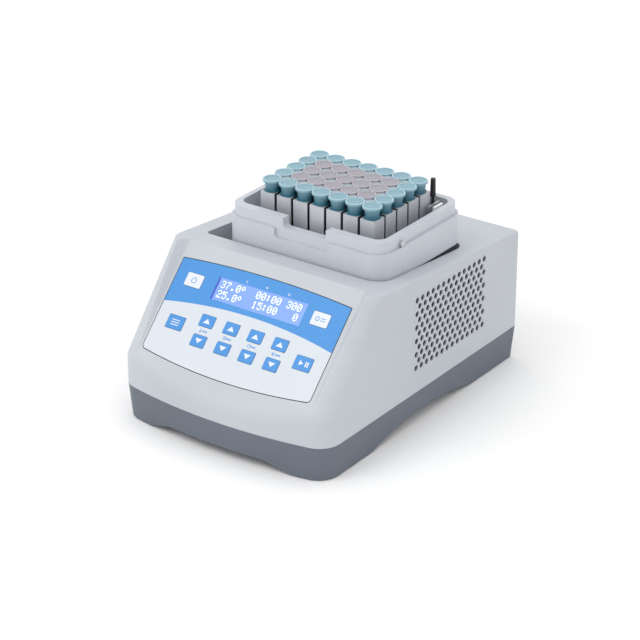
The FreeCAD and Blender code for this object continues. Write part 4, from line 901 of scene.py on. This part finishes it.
def display_characters():
    """Two lines of dot-matrix figures on the display."""
    low, high = panel_box("lcd_window")
    side_margin = 7 * MM
    first_line = 7.1 * MM
    line_pitch = 7.7 * MM
    tallness = 1.12
    columns = len(DISPLAY_LINES[0])
    pitch_u = (high.x - low.x - side_margin) / columns
    dots_per_letter = 6.2
    dot = pitch_u / dots_per_letter
    left = (low.x + high.x) / 2 - pitch_u * columns / 2 + 0.6 * MM
    dots = []
    for line, text in enumerate(DISPLAY_LINES):
        top_v = (low.y + high.y) / 2 + first_line - line * line_pitch
        for column, letter in enumerate(text):
            for row, pattern in enumerate(GLYPHS[letter]):
                for cell, lit in enumerate(pattern):
                    if lit == "1":
                        dots.append(bar(left + column * pitch_u + (cell + 0.5) * dot,
                                        top_v - (row + 0.5) * dot * tallness, dot / 2, dot / 2 * tallness))
    base = high.z
    printed("display_figures", dots, "root", "key_white", base, PRINT_LIFT, MATERIALS["figures"])
    edge_u = low.x + 0.9 * MM
    printed("display_edge", [bar(edge_u, (low.y + high.y) / 2, 0.75 * MM, (high.y - low.y) / 2)],
            "root", "lcd_blue", base, PRINT_LIFT, MATERIALS["display_edge"])


display_characters()


# ---------------------------------------------------------------- stage

def floor():
    """White floor under the object."""
    mesh = mesh_of("floor", lambda work: bmesh.ops.create_grid(work, x_segments=1, y_segments=1, size=6))
    thing = bpy.data.objects.new("floor", mesh)
    bpy.context.scene.collection.objects.link(thing)
    material, tree, shader = new_material("floor_white")
    clouds = ramp(tree, noise(tree, object_place(tree), 2), 0, 1)
    tone = mix_colours(tree, clouds, (0.93, 0.93, 0.93), (0.95, 0.95, 0.95))
    tree.links.new(tone, shader.inputs["Base Color"])
    shader.inputs["Roughness"].default_value = 0.9
    mesh.materials.append(material)


def surroundings():
    """Even white light from all round."""
    world = bpy.data.worlds.new("studio")
    bpy.context.scene.world = world
    world.use_nodes = True
    background = next(item for item in world.node_tree.nodes if item.type == "BACKGROUND")
    background.inputs["Color"].default_value = (1, 1, 1, 1)
    background.inputs["Strength"].default_value = 1.0


def soft_light(name, place, target, size, power):
    """Round area light that is aimed at a point."""
    data = bpy.data.lights.new(name, "AREA")
    data.shape = "DISK"
    data.size = size
    data.energy = power
    lamp = bpy.data.objects.new(name, data)
    bpy.context.scene.collection.objects.link(lamp)
    lamp.location = place
    aim = Vector(target) - Vector(place)
    lamp.rotation_euler = aim.to_track_quat("-Z", "Y").to_euler()


def camera():
    """Camera that looks down on the front and the right side."""
    data = bpy.data.cameras.new("camera")
    data.sensor_width = 36
    data.lens = 131.5
    eye = bpy.data.objects.new("camera", data)
    bpy.context.scene.collection.objects.link(eye)
    eye.location = (0.9301, -1.2967, 0.8239)
    eye.rotation_euler = (math.radians(64.30), 0, math.radians(35.67))
    bpy.context.scene.camera = eye


floor()
surroundings()
soft_light("key_light", (-0.5, -1.1, 1.5), (0, 0, 0.06), 1.0, 7)
soft_light("top_light", (0.1, 0.3, 1.7), (0, 0, 0.1), 1.2, 2)
camera()
bpy.context.scene.view_settings.view_transform = "Standard"
